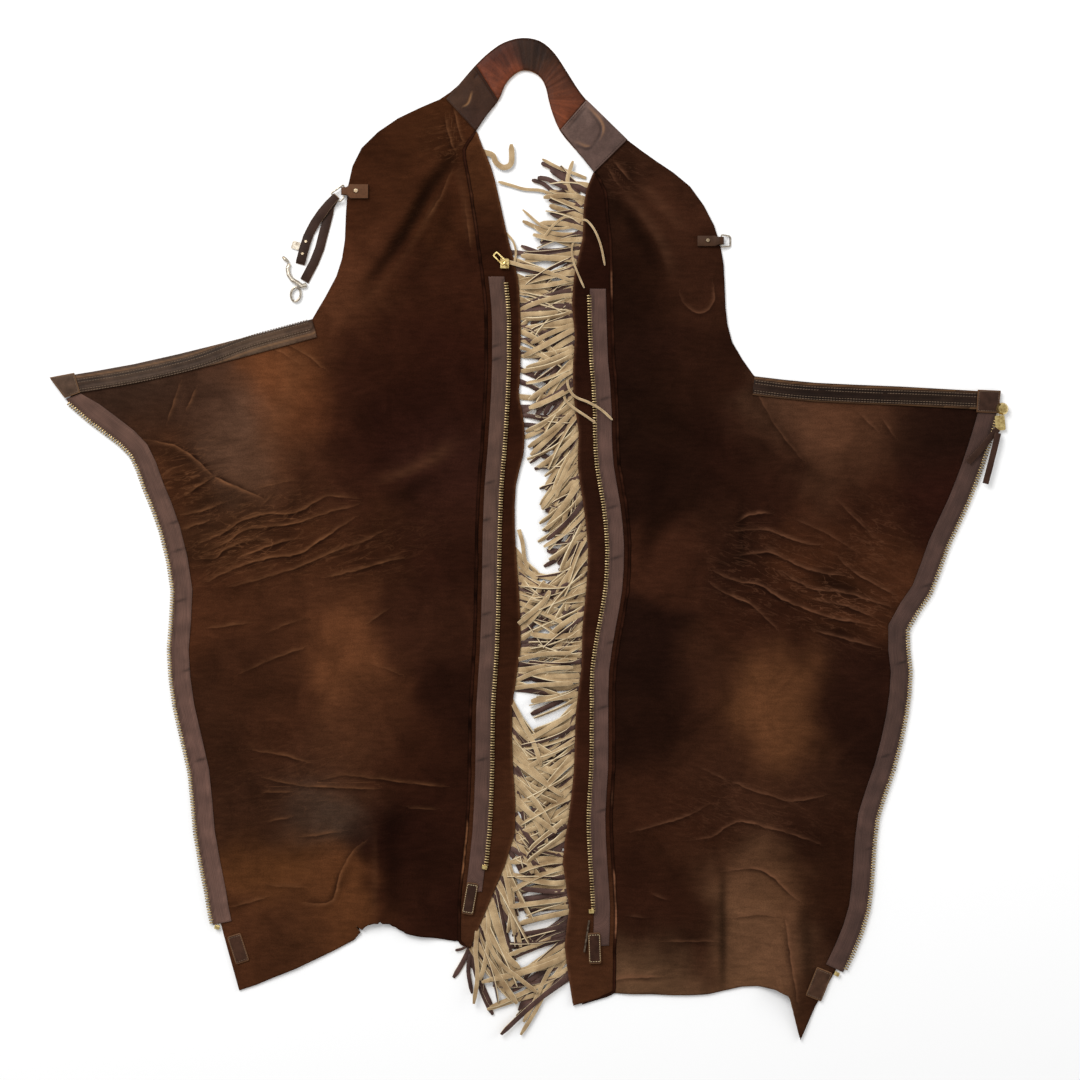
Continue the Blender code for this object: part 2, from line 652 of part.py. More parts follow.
def slider_with_lug():
    """The left inner zip's slider: a rounded body with an arched lug on top."""
    level = ON_PANEL + FRINGE_LIFT
    body = block("slider_l", (SLIDER_LENGTH, SLIDER_WIDTH, SLIDER_HEIGHT), SLIDER_ROUNDING, "brass")
    body.location = (SLIDER_LEFT[0] * MM, SLIDER_LEFT[1] * MM, level * MM)
    body.rotation_euler = (0.0, 0.0, math.radians(90))
    form = bmesh.new()
    outer, inner = [], []
    for step in range(LUG_STEPS + 1):
        angle = math.pi * step / LUG_STEPS
        reach, rise = math.cos(angle), math.sin(angle)
        outer.append((LUG_REACH * reach, LUG_HEIGHT * rise))
        inner.append(((LUG_REACH - LUG_WALL) * reach, (LUG_HEIGHT - LUG_WALL) * rise))
    outline = [(LUG_REACH, -LUG_FOOT)] + outer + [(-LUG_REACH, -LUG_FOOT)]
    outline += [(-LUG_REACH + LUG_WALL, -LUG_FOOT)] + inner[::-1] + [(LUG_REACH - LUG_WALL, -LUG_FOOT)]
    face = form.faces.new([form.verts.new((x * MM, -LUG_HALF_WIDTH * MM, z * MM)) for x, z in outline])
    walls = bmesh.ops.extrude_face_region(form, geom=[face], use_keep_orig=True)
    lifted = [part for part in walls["geom"] if isinstance(part, bmesh.types.BMVert)]
    bmesh.ops.translate(form, verts=lifted, vec=(0.0, 2 * LUG_HALF_WIDTH * MM, 0.0))
    lug = finish("slider_lug_guide", form, "brass")
    lug.location = (SLIDER_LEFT[0] * MM, SLIDER_LEFT[1] * MM, (level + SLIDER_HEIGHT) * MM)
    lug.rotation_euler = (0.0, 0.0, math.radians(PULL_TURN))
    lug.hide_render = True
    lug.display_type = "WIRE"
    join = body.modifiers.new("lug", "BOOLEAN")
    join.operation = "UNION"
    join.solver = "EXACT"
    join.object = lug
    return level + SLIDER_HEIGHT


def pull_tab(lug_level):
    """The pull: a flat frame whose end bar lies under the lug; its origin is on the hinge."""
    form = bmesh.new()
    outer = rounded_rectangle(PULL_LENGTH, PULL_WIDTH, PULL_CORNER, 4)
    inner = rounded_rectangle(
        PULL_LENGTH - 2 * PULL_FRAME, PULL_WIDTH - 2 * PULL_FRAME, PULL_HOLE_CORNER, 4,
    )
    shift = PULL_LENGTH / 2 - PULL_FRAME / 2
    loops = []
    for outline in (outer, inner):
        for level in (-PULL_THICK / 2, PULL_THICK / 2):
            loops.append([form.verts.new(((x + shift) * MM, y * MM, level * MM)) for x, y in outline])
    count = len(outer)
    for near, far in ((0, 1), (1, 3), (3, 2), (2, 0)):
        for k in range(count):
            m = (k + 1) % count
            form.faces.new((loops[near][k], loops[near][m], loops[far][m], loops[far][k]))
    pull = finish("pull_tab_l", form, "brass")
    turn = math.radians(PULL_TURN)
    pull.location = (
        (SLIDER_LEFT[0] + HINGE_BACK * math.cos(turn)) * MM,
        (SLIDER_LEFT[1] + HINGE_BACK * math.sin(turn)) * MM,
        (lug_level + HINGE_RISE) * MM,
    )
    pull.rotation_euler = (0.0, math.radians(PULL_DIP), turn)
    return pull


def build_legs():
    """Both legs with their plackets, fringes and zip tapes."""
    leg_panel("leg_panel_l", LEFT_SECTIONS, LEFT_HEM, "suede")
    leg_panel("leg_panel_r", RIGHT_SECTIONS, RIGHT_HEM, "suede_dark")
    left = placket_tracks(LEFT_SECTIONS)
    right = placket_tracks(RIGHT_SECTIONS)
    placket("placket_l", left, "suede")
    placket("placket_r", right, "suede")
    fringe("fringe_l", left, 0.0, "fringe_suede")
    fringe("fringe_r", right, FRINGE_LIFT, "fringe_suede")
    inner_tape("zip_tape_inner_l", left, "zip_tape")
    inner_tape("zip_tape_inner_r", right, "zip_tape")
    legs = {"left": LEFT_SECTIONS, "right": RIGHT_SECTIONS}
    for name, (leg, side, inner_corner, outer_corner, skipped, spared) in OUTER_TAPES.items():
        line = outer_line(legs[leg], "wing_low", "hem")[skipped:-spared]
        rows = [[inner_corner, outer_corner]] + edge_rows(line, OUTER_TAPE_LAP, OUTER_TAPE_REACH, -side)
        sheet(name, rows, flat(ON_PANEL), TAPE, "zip_tape")


def build_belt():
    """The belt's two plies and the patches that join it to the yokes."""
    outer, inner = belt_lines()
    belt_ply("belt_outer", outer, inner, 0.0, 0.0, "dark_leather")
    lining_outer = outer[LINING_FIRST:LINING_LAST + 1]
    lining_inner = inner[LINING_FIRST:LINING_LAST + 1]
    belt_ply("belt_lining", lining_outer, lining_inner, -BELT_LIP, BELT_PLY + GAP, "rust_leather")
    four_corner_piece("belt_patch_l", LEFT_PATCH, ON_PANEL, BELT_PLY, "dark_leather")
    four_corner_piece("belt_patch_r", RIGHT_PATCH, ON_PANEL, BELT_PLY, "mauve_leather")


def build_bands():
    """The stitched bands along the top of both thigh wings, and the tabs over their ends."""
    for name, sections, side in (("thigh_band_l", LEFT_SECTIONS, -1), ("thigh_band_r", RIGHT_SECTIONS, 1)):
        line = outer_line(sections, "crotch", "wing_tip")
        rows = edge_rows(line, BAND_WIDTH, 0.0, -side)
        rows[-1][0] = BAND_TIPS[name]
        sheet(name, rows, flat(ON_PANEL), BAND, "mauve_leather")
    for name, corners in BAND_ENDS.items():
        four_corner_piece(name, corners, ON_BAND, BAND, "mauve_leather")


def build_zip_hardware():
    """Tabs and stops on the zip ends, sliders, pulls and the bare pin."""
    raised = ON_PANEL + FRINGE_LIFT + TAPE + GAP
    for name, placing in ZIP_ENDS.items():
        level = raised if "inner" in name else ON_PANEL
        tab(name, placing, level, STRAP, "mauve_leather")
    for name, (x, y, turn) in STOPS.items():
        level = raised if "inner" in name else ON_PANEL
        stop = block(name, STOP_SIZE, STOP_ROUNDING, "brass")
        stop.location = (x * MM, y * MM, level * MM)
        stop.rotation_euler = (0.0, 0.0, math.radians(turn))
    pull_tab(slider_with_lug())
    pin_z = raised + PIN_RADIUS
    wire("zip_pin_r", [(x, y, pin_z) for x, y in PIN_LINE], [PIN_RADIUS] * 3, False, "brass")
    disc("slider_r", *SLIDER_RIGHT, ON_BAND_END, SLIDER_RIGHT_RADIUS, SLIDER_RIGHT_HEIGHT, "brass")
    pull_level = ON_PANEL + TAPE + GAP
    tab("pull_tab_r", RIGHT_PULL, pull_level, BRASS_PLATE, "brass")
    for index, tail in enumerate(THONG_TAILS):
        line = [Vector(place) for place in tail]
        level = pull_level + BRASS_PLATE + GAP + index * (THONG + GAP)
        rows = edge_rows(line, THONG_WIDTH / 2, THONG_WIDTH / 2, 1)
        sheet(f"pull_thong_{index + 1}", rows, flat(level), THONG, "dark_leather")


def build_rings():
    """Ring tabs with their rings and rivets."""
    ring_tab("ring_tab_l", LEFT_TAB, "mauve_leather")
    ring_tab("ring_tab_r", RIGHT_TAB, "mauve_leather")
    top = ON_PANEL + 2 * TAB_PLY + 2 * GAP
    for name, (x, y, radius) in RING_RIVETS.items():
        disc(name, x, y, top, radius, RIVET_HEIGHT, "pale_metal")
    left = rounded_loop(LEFT_RING, RING_CORNER, RING_BAR_Z)
    wire("ring_l", left, [RING_WIRE] * len(left), True, "pale_metal", sides=2)
    half = RIGHT_RING_WIDTH / 2
    reach = RIGHT_RING_REACH
    corners = [(0, half), (0, -half), (reach, -half + 1.0), (reach, half - 1.0)]
    right = rounded_loop(corners, RING_CORNER, 0.0)
    ring = wire("ring_r", right, [RING_WIRE] * len(right), True, "pale_metal", sides=2)
    ring.location = (RIGHT_TAB[1] * MM, RIGHT_TAB[2] * MM, RING_BAR_Z * MM)
    ring.rotation_euler = (0.0, math.radians(RIGHT_RING_DROOP), 0.0)


def build_closure():
    """The closure strap through the left ring, its riveted end and its trigger snap."""
    strap("closure_strap", STRAP_CLIMB + ring_wrap() + STRAP_RETURN, STRAP, "dark_leather")
    keeper = edge_rows([Vector(place) for place in KEEPER], STRAP_WIDTH / 2, STRAP_WIDTH / 2, 1)
    sheet("strap_keeper", keeper, flat(STRAP + GAP), STRAP, "dark_leather")
    for index, (x, y) in enumerate(STRAP_RIVETS):
        disc(f"strap_rivet_{index + 1}", x, y, 2 * (STRAP + GAP), STRAP_RIVET_RADIUS,
             STRAP_RIVET_HEIGHT, "pale_metal")
    tab("strap_slide", SLIDE_PLATE, 0.0, SLIDE_THICK, "pale_metal", corner=1.0)
    body = [(x, y, SNAP_Z) for x, y, _ in SNAP_BODY]
    wire("snap_body", body, [radius for _, _, radius in SNAP_BODY], False, "pale_metal")
    turn = math.radians(LEVER_TURN)
    lever = [(share * LEVER_LENGTH, 0.0, 0.0) for share, _ in LEVER_PROFILE]
    trigger = wire("snap_lever", lever, [radius for _, radius in LEVER_PROFILE], False, "pale_metal")
    trigger.location = (LEVER_PIVOT[0] * MM, LEVER_PIVOT[1] * MM, SNAP_Z * MM)
    trigger.rotation_euler = (0.0, 0.0, turn)
    jaw = []
    for step in range(JAW_STEPS):
        angle = math.tau * step / JAW_STEPS
        across, along = JAW_HALF_WIDTH * math.cos(angle), JAW_HALF_LENGTH * math.sin(angle)
        jaw.append((across, along, 0.0))
    ring = wire("snap_jaw", jaw, [JAW_WIRE] * len(jaw), True, "pale_metal", sides=2)
    ring.location = (JAW_CENTRE[0] * MM, JAW_CENTRE[1] * MM, SNAP_Z * MM)
    ring.rotation_euler = (0.0, 0.0, math.radians(-JAW_TURN))


def smooth_round_pieces():
    """Shade the bars smooth and keep their ends crisp."""
    for item in bpy.context.scene.objects:
        if item.type == "CURVE":
            for line in item.data.splines:
                line.use_smooth = True


clear_scene()
build_legs()
build_belt()
build_bands()
build_zip_hardware()
build_rings()
build_closure()
smooth_round_pieces()
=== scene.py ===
import math
import random

import bmesh
import bpy
import numpy as np
from mathutils import Matrix, Vector, noise
from mathutils.bvhtree import BVHTree


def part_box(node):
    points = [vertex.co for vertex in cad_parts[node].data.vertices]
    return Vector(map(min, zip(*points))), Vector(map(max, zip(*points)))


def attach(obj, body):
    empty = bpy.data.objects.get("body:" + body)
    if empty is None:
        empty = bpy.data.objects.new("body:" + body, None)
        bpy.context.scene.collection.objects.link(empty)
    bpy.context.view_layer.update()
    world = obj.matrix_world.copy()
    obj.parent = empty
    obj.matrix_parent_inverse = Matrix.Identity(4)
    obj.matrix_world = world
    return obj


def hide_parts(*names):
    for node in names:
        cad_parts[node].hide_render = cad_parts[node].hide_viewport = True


# The borders of the dyes wander the same way in every run.
noise.seed_set(7)

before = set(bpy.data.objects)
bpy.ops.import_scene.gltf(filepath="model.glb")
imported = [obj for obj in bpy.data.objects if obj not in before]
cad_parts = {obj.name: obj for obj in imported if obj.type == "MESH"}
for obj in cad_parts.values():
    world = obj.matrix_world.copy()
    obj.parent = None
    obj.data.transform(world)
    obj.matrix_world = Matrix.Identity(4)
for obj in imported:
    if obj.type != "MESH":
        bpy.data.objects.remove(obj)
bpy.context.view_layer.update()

# ---------------------------------------------------------------- studio
# The chaps lie on a plain pale floor under a broad soft light from the waist end,
# with a weaker light low on one side that lets the creases read.
# The camera hangs straight above the middle.
MM = 0.001
bpy.context.scene.view_settings.view_transform = "Standard"

floor_form = bmesh.new()
bmesh.ops.create_grid(floor_form, x_segments=2, y_segments=2, size=4.0)
bmesh.ops.translate(floor_form, vec=(0, 0, -0.4 * MM), verts=floor_form.verts)
floor_mesh = bpy.data.meshes.new("floor")
floor_form.to_mesh(floor_mesh)
floor_form.free()
floor = bpy.data.objects.new("floor", floor_mesh)
bpy.context.scene.collection.objects.link(floor)
floor_paint = bpy.data.materials.new("floor_paint")
floor_paint.use_nodes = True
floor_paint.node_tree.nodes["Principled BSDF"].inputs["Base Color"].default_value = (0.93, 0.93, 0.93, 1)
floor_paint.node_tree.nodes["Principled BSDF"].inputs["Roughness"].default_value = 0.8
floor_paint.node_tree.nodes["Principled BSDF"].inputs["Specular IOR Level"].default_value = 0.1
floor_mesh.materials.append(floor_paint)

camera = bpy.data.objects.new("camera", bpy.data.cameras.new("camera"))
camera.location = (10.7 * MM, -1.1 * MM, 2.2)
camera.data.lens = 68.5
camera.data.sensor_width = 36.0
bpy.context.scene.collection.objects.link(camera)
bpy.context.scene.camera = camera

for light_name, place, size, power in [
    ("window_light", (-1.1, 1.5, 2.1), 1.6, 62.0),
    ("side_light", (1.9, 0.5, 1.0), 0.9, 9.0),
]:
    lamp = bpy.data.lights.new(light_name, "AREA")
    lamp.size = size
    lamp.energy = power
    light = bpy.data.objects.new(light_name, lamp)
    light.location = place
    light.rotation_euler = (-Vector(place)).to_track_quat("-Z", "Y").to_euler()
    bpy.context.scene.collection.objects.link(light)
world = bpy.data.worlds.new("room")
world.use_nodes = True
world.node_tree.nodes["Background"].inputs["Color"].default_value = (1, 1, 1, 1)
world.node_tree.nodes["Background"].inputs["Strength"].default_value = 0.6
bpy.context.scene.world = world


# ---------------------------------------------------------------- leg panels
# Each leg is one large panel of soft suede, 1.6 mm thick, flesh side up.
# It is cut to the CAD outline and laid on the CAD folds, then creased:
# main folds and knee wrinkles first, with painted highlight and shade along them, then lighter, greyed and
# dark patches in the nap colour.
SUEDE = 1.6
CLOTH_CELL = 2.35
# A CAD face is a side or an underside when its normal rises less than this.
SIDE_RISE = 0.12
# Turns of a cloth's border, in degrees: a sharper one is a stray notch, and a CAD corner is kept sharp.
NOTCH_TURN = 125
CORNER_TURN = 115


def cut_cloth(node_name, cell):
    """A fine sheet cut to a CAD piece's outline and laid on its upper face."""
    solid = bmesh.new()
    solid.from_mesh(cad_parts[node_name].data)
    bmesh.ops.remove_doubles(solid, verts=solid.verts, dist=0.001 * MM)
    upper = BVHTree.FromBMesh(solid)
    lower = [face for face in solid.faces if face.normal.z < SIDE_RISE]
    bmesh.ops.delete(solid, geom=lower, context="FACES")
    rim = [edge for edge in solid.edges if edge.is_boundary]
    starts = np.array([edge.verts[0].co[:] for edge in rim])
    runs = np.array([edge.verts[1].co[:] for edge in rim]) - starts
    low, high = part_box(node_name)
    counts = [math.ceil((high[axis] - low[axis]) / (cell * MM)) + 1 for axis in (0, 1)]
    cloth = bmesh.new()
    bmesh.ops.create_grid(cloth, x_segments=counts[0], y_segments=counts[1], size=1.0)
    middle = ((low[0] + high[0]) / 2, (low[1] + high[1]) / 2, 1.0)
    stretch = (counts[0] * cell * MM / 2, counts[1] * cell * MM / 2, 1.0)
    bmesh.ops.scale(cloth, vec=stretch, verts=cloth.verts)
    bmesh.ops.translate(cloth, vec=middle, verts=cloth.verts)
    down = Vector((0, 0, -1))
    outside = [f for f in cloth.faces if upper.ray_cast(f.calc_center_median(), down)[0] is None]
    bmesh.ops.delete(cloth, geom=outside, context="FACES")
    border = [vert for vert in cloth.verts if vert.is_boundary]
    for vert in cloth.verts:
        struck = upper.ray_cast(vert.co, down)[0]
        vert.co.z = struck.z if struck else 0.0
    flat_runs = (runs[:, :2] ** 2).sum(axis=1) + 1e-12
    for vert in border:
        away = np.array(vert.co[:2]) - starts[:, :2]
        along = np.clip((away * runs[:, :2]).sum(axis=1) / flat_runs, 0, 1)
        spots = starts + runs * along[:, None]
        vert.co = spots[((spots[:, :2] - np.array(vert.co[:2])) ** 2).sum(axis=1).argmin()]
    for _ in range(2):
        for vert in border:
            ends = [edge.other_vert(vert).co for edge in vert.link_edges if edge.is_boundary]
            if len(ends) != 2:
                continue
            if (ends[0] - vert.co).angle(ends[1] - vert.co, 0.0) < math.radians(NOTCH_TURN):
                vert.co = (ends[0] + ends[1]) / 2
    free = [vert for vert in cloth.verts if not vert.is_boundary]
    for _ in range(3):
        bmesh.ops.smooth_vert(cloth, verts=free, factor=0.5, use_axis_x=True, use_axis_y=True)
    for corner in solid.verts:
        sides = [edge for edge in corner.link_edges if edge.is_boundary]
        if len(sides) == 2:
            rays = [(edge.other_vert(corner).co - corner.co).to_2d() for edge in sides]
            if math.degrees(rays[0].angle(rays[1])) < CORNER_TURN:
                nearest = min(border, key=lambda vert: (vert.co - corner.co).length)
                nearest.co = corner.co
    solid.free()
    bmesh.ops.remove_doubles(cloth, verts=cloth.verts, dist=0.25 * cell * MM)
    return cloth


def settle(cloth, rounds):
    """Level the CAD facets into soft folds."""
    for _ in range(rounds):
        bmesh.ops.smooth_vert(cloth, verts=cloth.verts, factor=0.5, use_axis_z=True)


def flowing(points, steps=6):
    """A smooth line through given points."""
    given = [Vector(point) for point in points]
    if len(given) < 3:
        return given
    ends = [given[0] * 2 - given[1], *given, given[-1] * 2 - given[-2]]
    line = []
    for before, here, ahead, after in zip(ends, ends[1:], ends[2:], ends[3:]):
        for step in range(steps):
            t = step / steps
            line.append(
                0.5 * (2 * here + (ahead - before) * t + (2 * before - 5 * here + 4 * ahead - after) * t**2
                       + (3 * here - before - 3 * ahead + after) * t**3)
            )
    return [*line, given[-1]]


def near_line(places, line):
    """How far each place lies from a line (minus on its left), how far along it, and the line's length."""
    nearest = np.full(len(places), 1e9)
    hand = np.ones(len(places))
    along = np.zeros(len(places))
    travelled = 0.0
    line = np.array([point[:2] for point in line])
    for start, end in zip(line, line[1:]):
        run = end - start
        length = np.hypot(*run)
        if length < 1e-9:
            continue
        share = np.clip((places - start) @ run / length**2, 0, 1)
        away = places - start - share[:, None] * run
        gap = np.hypot(away[:, 0], away[:, 1])
        closer = gap < nearest
        nearest[closer] = gap[closer]
        hand[closer] = np.where(run[0] * away[closer, 1] > run[1] * away[closer, 0], -1.0, 1.0)
        along[closer] = travelled + share[closer] * length
        travelled += length
    return nearest * hand, along, travelled


def places_of(cloth):
    """The points of a cloth as an array of millimetres."""
    return np.array([vert.co[:] for vert in cloth.verts]) / MM


def waves(places, size, layer):
    """A soft wave of the given size over the places; each layer is another wave."""
    return np.array([noise.noise(Vector((x / size, y / size, layer))) for x, y, _ in places])


def raise_cloth(cloth, heights):
    """Lift every point of a cloth by its own height."""
    for vert, height in zip(cloth.verts, heights):
        vert.co.z += height * MM


def fold(places, folds):
    """Rise and shade of a list of folds: (half width, height, shade, line)."""
    rise = np.zeros(len(places))
    shade = np.zeros(len(places))
    for half_width, height, tone, points in folds:
        gap, along, length = near_line(places[:, :2], flowing(points))
        swell = np.exp(-((gap / half_width) ** 2))
        swell *= np.sin(np.pi * np.clip(along / length, 0.02, 0.98)) ** 0.6
        rise += height * swell
        shade += tone * swell
    return rise, shade


def crease_marks(places, creases):
    """Distance to the nearest crease (minus on its lit side) and how strong that crease is there."""
    gap = np.full(len(places), 40.0)
    second = np.full(len(places), 40.0)
    power = np.zeros(len(places))
    for strength, points in creases:
        away, along, length = near_line(places[:, :2], flowing(points, 4))
        fade = strength * np.sin(np.pi * np.clip(along / length, 0.03, 0.97)) ** 0.45
        closer = np.abs(away) < np.abs(gap)
        second = np.where(closer, np.abs(gap), np.minimum(second, np.abs(away)))
        gap = np.where(closer, away, gap)
        power = np.where(closer, fade, power)
    lone = np.clip((second - np.abs(gap)) / 3, 0, 1) * np.clip((9 - np.abs(gap)) / 3, 0, 1)
    return gap, power * lone


def linear(colour):
    """A colour from 0-255 display numbers to the linear values that shaders use."""
    share = np.asarray(colour, dtype=float) / 255
    return np.where(share <= 0.04045, share / 12.92, ((share + 0.055) / 1.055) ** 2.4)


def dye(places, patches, reach):
    """A colour for every place, blended softly between the patches around it, with wandering borders."""
    total = np.zeros((len(places), 3))
    weights = np.zeros(len(places)) + 1e-12
    broad = np.array([noise.noise_vector(Vector((x, y, 2.0)) / (2.4 * reach)) for x, y, _ in places])
    close = np.array([noise.noise_vector(Vector((x, y, 9.0)) / (0.7 * reach)) for x, y, _ in places])
    drift = broad + 0.4 * close
    wandered = places[:, :2] + 0.9 * reach * drift[:, :2]
    for x, y, colour in patches:
        weight = np.exp(-((wandered[:, 0] - x) ** 2 + (wandered[:, 1] - y) ** 2) / (2 * reach**2)) + 1e-9
        total += weight[:, None] * linear(colour)
        weights += weight
    return total / weights[:, None]


def make_piece(name, form, body="garment"):
    """Turn a finished bmesh into an object that rides on a body."""
    mesh = bpy.data.meshes.new(name)
    form.to_mesh(mesh)
    form.free()
    piece = bpy.data.objects.new(name, mesh)
    bpy.context.scene.collection.objects.link(piece)
    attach(piece, body)
    for polygon in mesh.polygons:
        polygon.use_smooth = True
    return piece


def dress(piece, node_name, slot, *materials):
    """Give a piece its materials, and let it stand for its CAD node, which is hidden. The slot is not used.
    """
    for material in materials:
        piece.data.materials.append(material)
    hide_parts(node_name)


def mark(piece, name, values):
    """Store one number for every point of a piece, for its finish to read."""
    layer = piece.data.attributes.new(name, "FLOAT", "POINT")
    layer.data.foreach_set("value", np.asarray(values, dtype=np.float32))


def stain(piece, colours, rub_and_highlight=None):
    """Store the dye, with any painted light and shade already put into it, and a value for rubbed wear and
    painted highlights, on the points of a piece.
    """
    dye_and_shade = piece.data.color_attributes.new("dye", "FLOAT_COLOR", "POINT")
    dye_and_shade.data.foreach_set("color", np.column_stack([colours, np.ones(len(colours))]).ravel())
    mark(piece, "rub_and_highlight", np.zeros(len(colours)) if rub_and_highlight is None else rub_and_highlight)


def thicken(piece, thickness, rim=0):
    """Give a cloth piece its wall, downwards from the face that shows."""
    wall = piece.modifiers.new("wall", "SOLIDIFY")
    wall.thickness = thickness * MM
    wall.offset = -1
    wall.material_offset_rim = rim


def node(tree, kind, inputs=(), **settings):
    """Add a shader node, with links or values for its inputs."""
    made = tree.nodes.new("ShaderNode" + kind)
    for key, value in settings.items():
        setattr(made, key, value)
    for key, value in dict(inputs).items():
        if isinstance(value, bpy.types.NodeSocket):
            tree.links.new(value, made.inputs[key])
        else:
            made.inputs[key].default_value = value
    return made


def new_finish(name, roughness, specular=0.3, metallic=0.0, sheen=0.0):
    """A material with its constant values on the shader's own sockets."""
    material = bpy.data.materials.new(name)
    material.use_nodes = True
    shader = material.node_tree.nodes["Principled BSDF"]
    shader.inputs["Roughness"].default_value = roughness
    shader.inputs["Specular IOR Level"].default_value = specular
    shader.inputs["Metallic"].default_value = metallic
    shader.inputs["Sheen Weight"].default_value = sheen
    return material.node_tree, shader, material


def ranged(tree, factor, low, high, source=(0.3, 0.7)):
    """Stretch a noise value to the range that a finish needs."""
    made = node(tree, "MapRange", {0: factor, 1: source[0], 2: source[1], 3: low, 4: high})
    return made.outputs[0]


def noisy(tree, place, scale, detail, roughness=0.5, distortion=0.0):
    """A noise value at a place."""
    values = {"Vector": place, "Scale": scale, "Detail": detail, "Roughness": roughness,
              "Distortion": distortion}
    return node(tree, "TexNoise", values).outputs[0]


def stored(tree, name, output="Fac"):
    """What a piece's points carry under a name."""
    return node(tree, "Attribute", attribute_name=name).outputs[output]


def emboss(tree, shader, height, strength, depth):
    """Let a height value show as fine relief."""
    bump = node(tree, "Bump", {"Height": height, "Strength": strength, "Distance": depth * MM}).outputs[0]
    tree.links.new(bump, shader.inputs["Normal"])


def plus(tree, first, second, clamp=False):
    """The sum of two values."""
    return node(tree, "Math", {0: first, 1: second}, operation="ADD", use_clamp=clamp).outputs[0]


def times(tree, first, second):
    """The product of two values."""
    return node(tree, "Math", {0: first, 1: second}, operation="MULTIPLY").outputs[0]


def scaled(tree, colour, factor):
    """A colour made lighter or darker by a value."""
    return node(tree, "VectorMath", {0: colour, 3: factor}, operation="SCALE").outputs[0]


def blended(tree, factor, first, second):
    """A mix of two colours by a value."""
    made = node(tree, "Mix", {0: factor, 6: first, 7: second}, data_type="RGBA")
    return made.outputs[2]


def suede_finish(name, nap_and_highlight_tint, stroke, wrinkle_lie, fold_shade_colour=(24, 10, 6)):
    """Suede: nap in its dye colour, mottled and brushed one way, lighter where it is rubbed and where
    highlights are painted, with painted highlights and painted shade on its wrinkles and creases.
    """
    tree, shader, material = new_finish(name, 0.95, 0.02, sheen=0.02)
    shader.inputs["Sheen Roughness"].default_value = 0.6
    shader.inputs["Sheen Tint"].default_value = (*linear((190, 150, 120)), 1)
    place = node(tree, "TexCoord").outputs["Object"]
    dye_and_shade = stored(tree, "dye", "Color")
    rubbed = stored(tree, "rub_and_highlight")
    clouds = noisy(tree, place, 22, 7, 0.62, 0.8)
    stroke_lie = node(tree, "Mapping", {"Vector": place, "Rotation": (0, 0, stroke), "Scale": (60, 260, 60)})
    strokes = noisy(tree, stroke_lie.outputs[0], 1, 4)
    fibres = noisy(tree, place, 900, 3)
    mottle = times(tree, ranged(tree, clouds, 0.72, 1.28), ranged(tree, strokes, 0.86, 1.14))
    mottle = times(tree, mottle, ranged(tree, fibres, 0.8, 1.2))
    colour = scaled(tree, dye_and_shade, mottle)
    # The rub value lightens the nap towards the tint: it holds rubbed wear, and painted highlights on fold
    # crests.
    raised_nap_and_highlight = times(tree, rubbed, ranged(tree, strokes, 0.55, 1.1))
    colour = blended(tree, raised_nap_and_highlight, colour, (*linear(nap_and_highlight_tint), 1))
    # Fine wrinkles: painted highlights on thin crests and painted shade in the hollows between them, drawn
    # out along their lie.
    wrinkled = stored(tree, "wrinkled")
    lie = node(tree, "Mapping", {"Vector": place, "Rotation": (0, 0, wrinkle_lie),
                                 "Scale": (0.042, 0.0095, 0.03)}, vector_type="TEXTURE")
    waves = noisy(tree, lie.outputs[0], 1, 3, 0.6, 0.9)
    off_middle = node(tree, "Math", {0: waves, 1: 0.5}, operation="SUBTRACT").outputs[0]
    off_middle = node(tree, "Math", {0: off_middle}, operation="ABSOLUTE").outputs[0]
    crest = times(tree, ranged(tree, off_middle, 1, 0, (0, 0.028)), wrinkled)
    hollow = times(tree, ranged(tree, waves, 0, 1, (0.5, 0.62)), wrinkled)
    # Named creases: a painted highlight where the suede is folded over, with painted shade behind it.
    gap = stored(tree, "crease_gap")
    power = stored(tree, "crease_power")
    wavering = noisy(tree, place, 90, 2)
    broken = noisy(tree, place, 42, 2)
    power = times(tree, power, ranged(tree, broken, 0.4, 1.15))
    gap = plus(tree, gap, ranged(tree, wavering, -0.7, 0.7))
    slope = ranged(tree, gap, 0, 1, (-6.0, 0.2))
    lit_line = times(tree, times(tree, times(tree, slope, slope), slope), ranged(tree, gap, 1, 0, (0.2, 1.3)))
    lit_line = times(tree, lit_line, power)
    foot = ranged(tree, gap, 1, 0, (1.6, 8.0))
    shaded = times(tree, ranged(tree, gap, 0, 1, (0.5, 1.7)), times(tree, foot, foot))
    shaded = times(tree, shaded, power)
    # All the painted shade of wrinkles and creases, mixed towards the fold shade colour.
    dark = plus(tree, times(tree, hollow, 0.4), times(tree, shaded, 0.85), True)
    colour = blended(tree, dark, colour, (*linear(fold_shade_colour), 1))
    # All the painted highlights of wrinkles and creases, mixed towards the nap tint.
    bright = plus(tree, times(tree, crest, 0.26), times(tree, lit_line, 0.6), True)
    bright = times(tree, bright, ranged(tree, strokes, 0.6, 1.15))
    colour = blended(tree, bright, colour, (*linear(nap_and_highlight_tint), 1))
    tree.links.new(colour, shader.inputs["Base Color"])
    relief = plus(tree, plus(tree, fibres, strokes), bright)
    relief = plus(tree, relief, times(tree, dark, -0.6))
    emboss(tree, shader, relief, 0.35, 0.5)
    return material


def raw_edge_finish(name, colour):
    """The pale fibrous core that a cut shows along its edge."""
    tree, shader, material = new_finish(name, 0.9, 0.15)
    place = node(tree, "TexCoord").outputs["Object"]
    grain = noisy(tree, place, 500, 4)
    tone = scaled(tree, tuple(linear(colour)), ranged(tree, grain, 0.7, 1.3))
    tree.links.new(tone, shader.inputs["Base Color"])
    emboss(tree, shader, grain, 0.4, 0.3)
    return material


leg_suede = {
    "l": suede_finish("leg_suede_brushed_up", (130, 86, 56), -0.25, 0.27),
    "r": suede_finish("leg_suede_brushed_down", (126, 84, 60), 0.3, -0.31),
}
suede_edge = raw_edge_finish("suede_edge", (112, 82, 58))
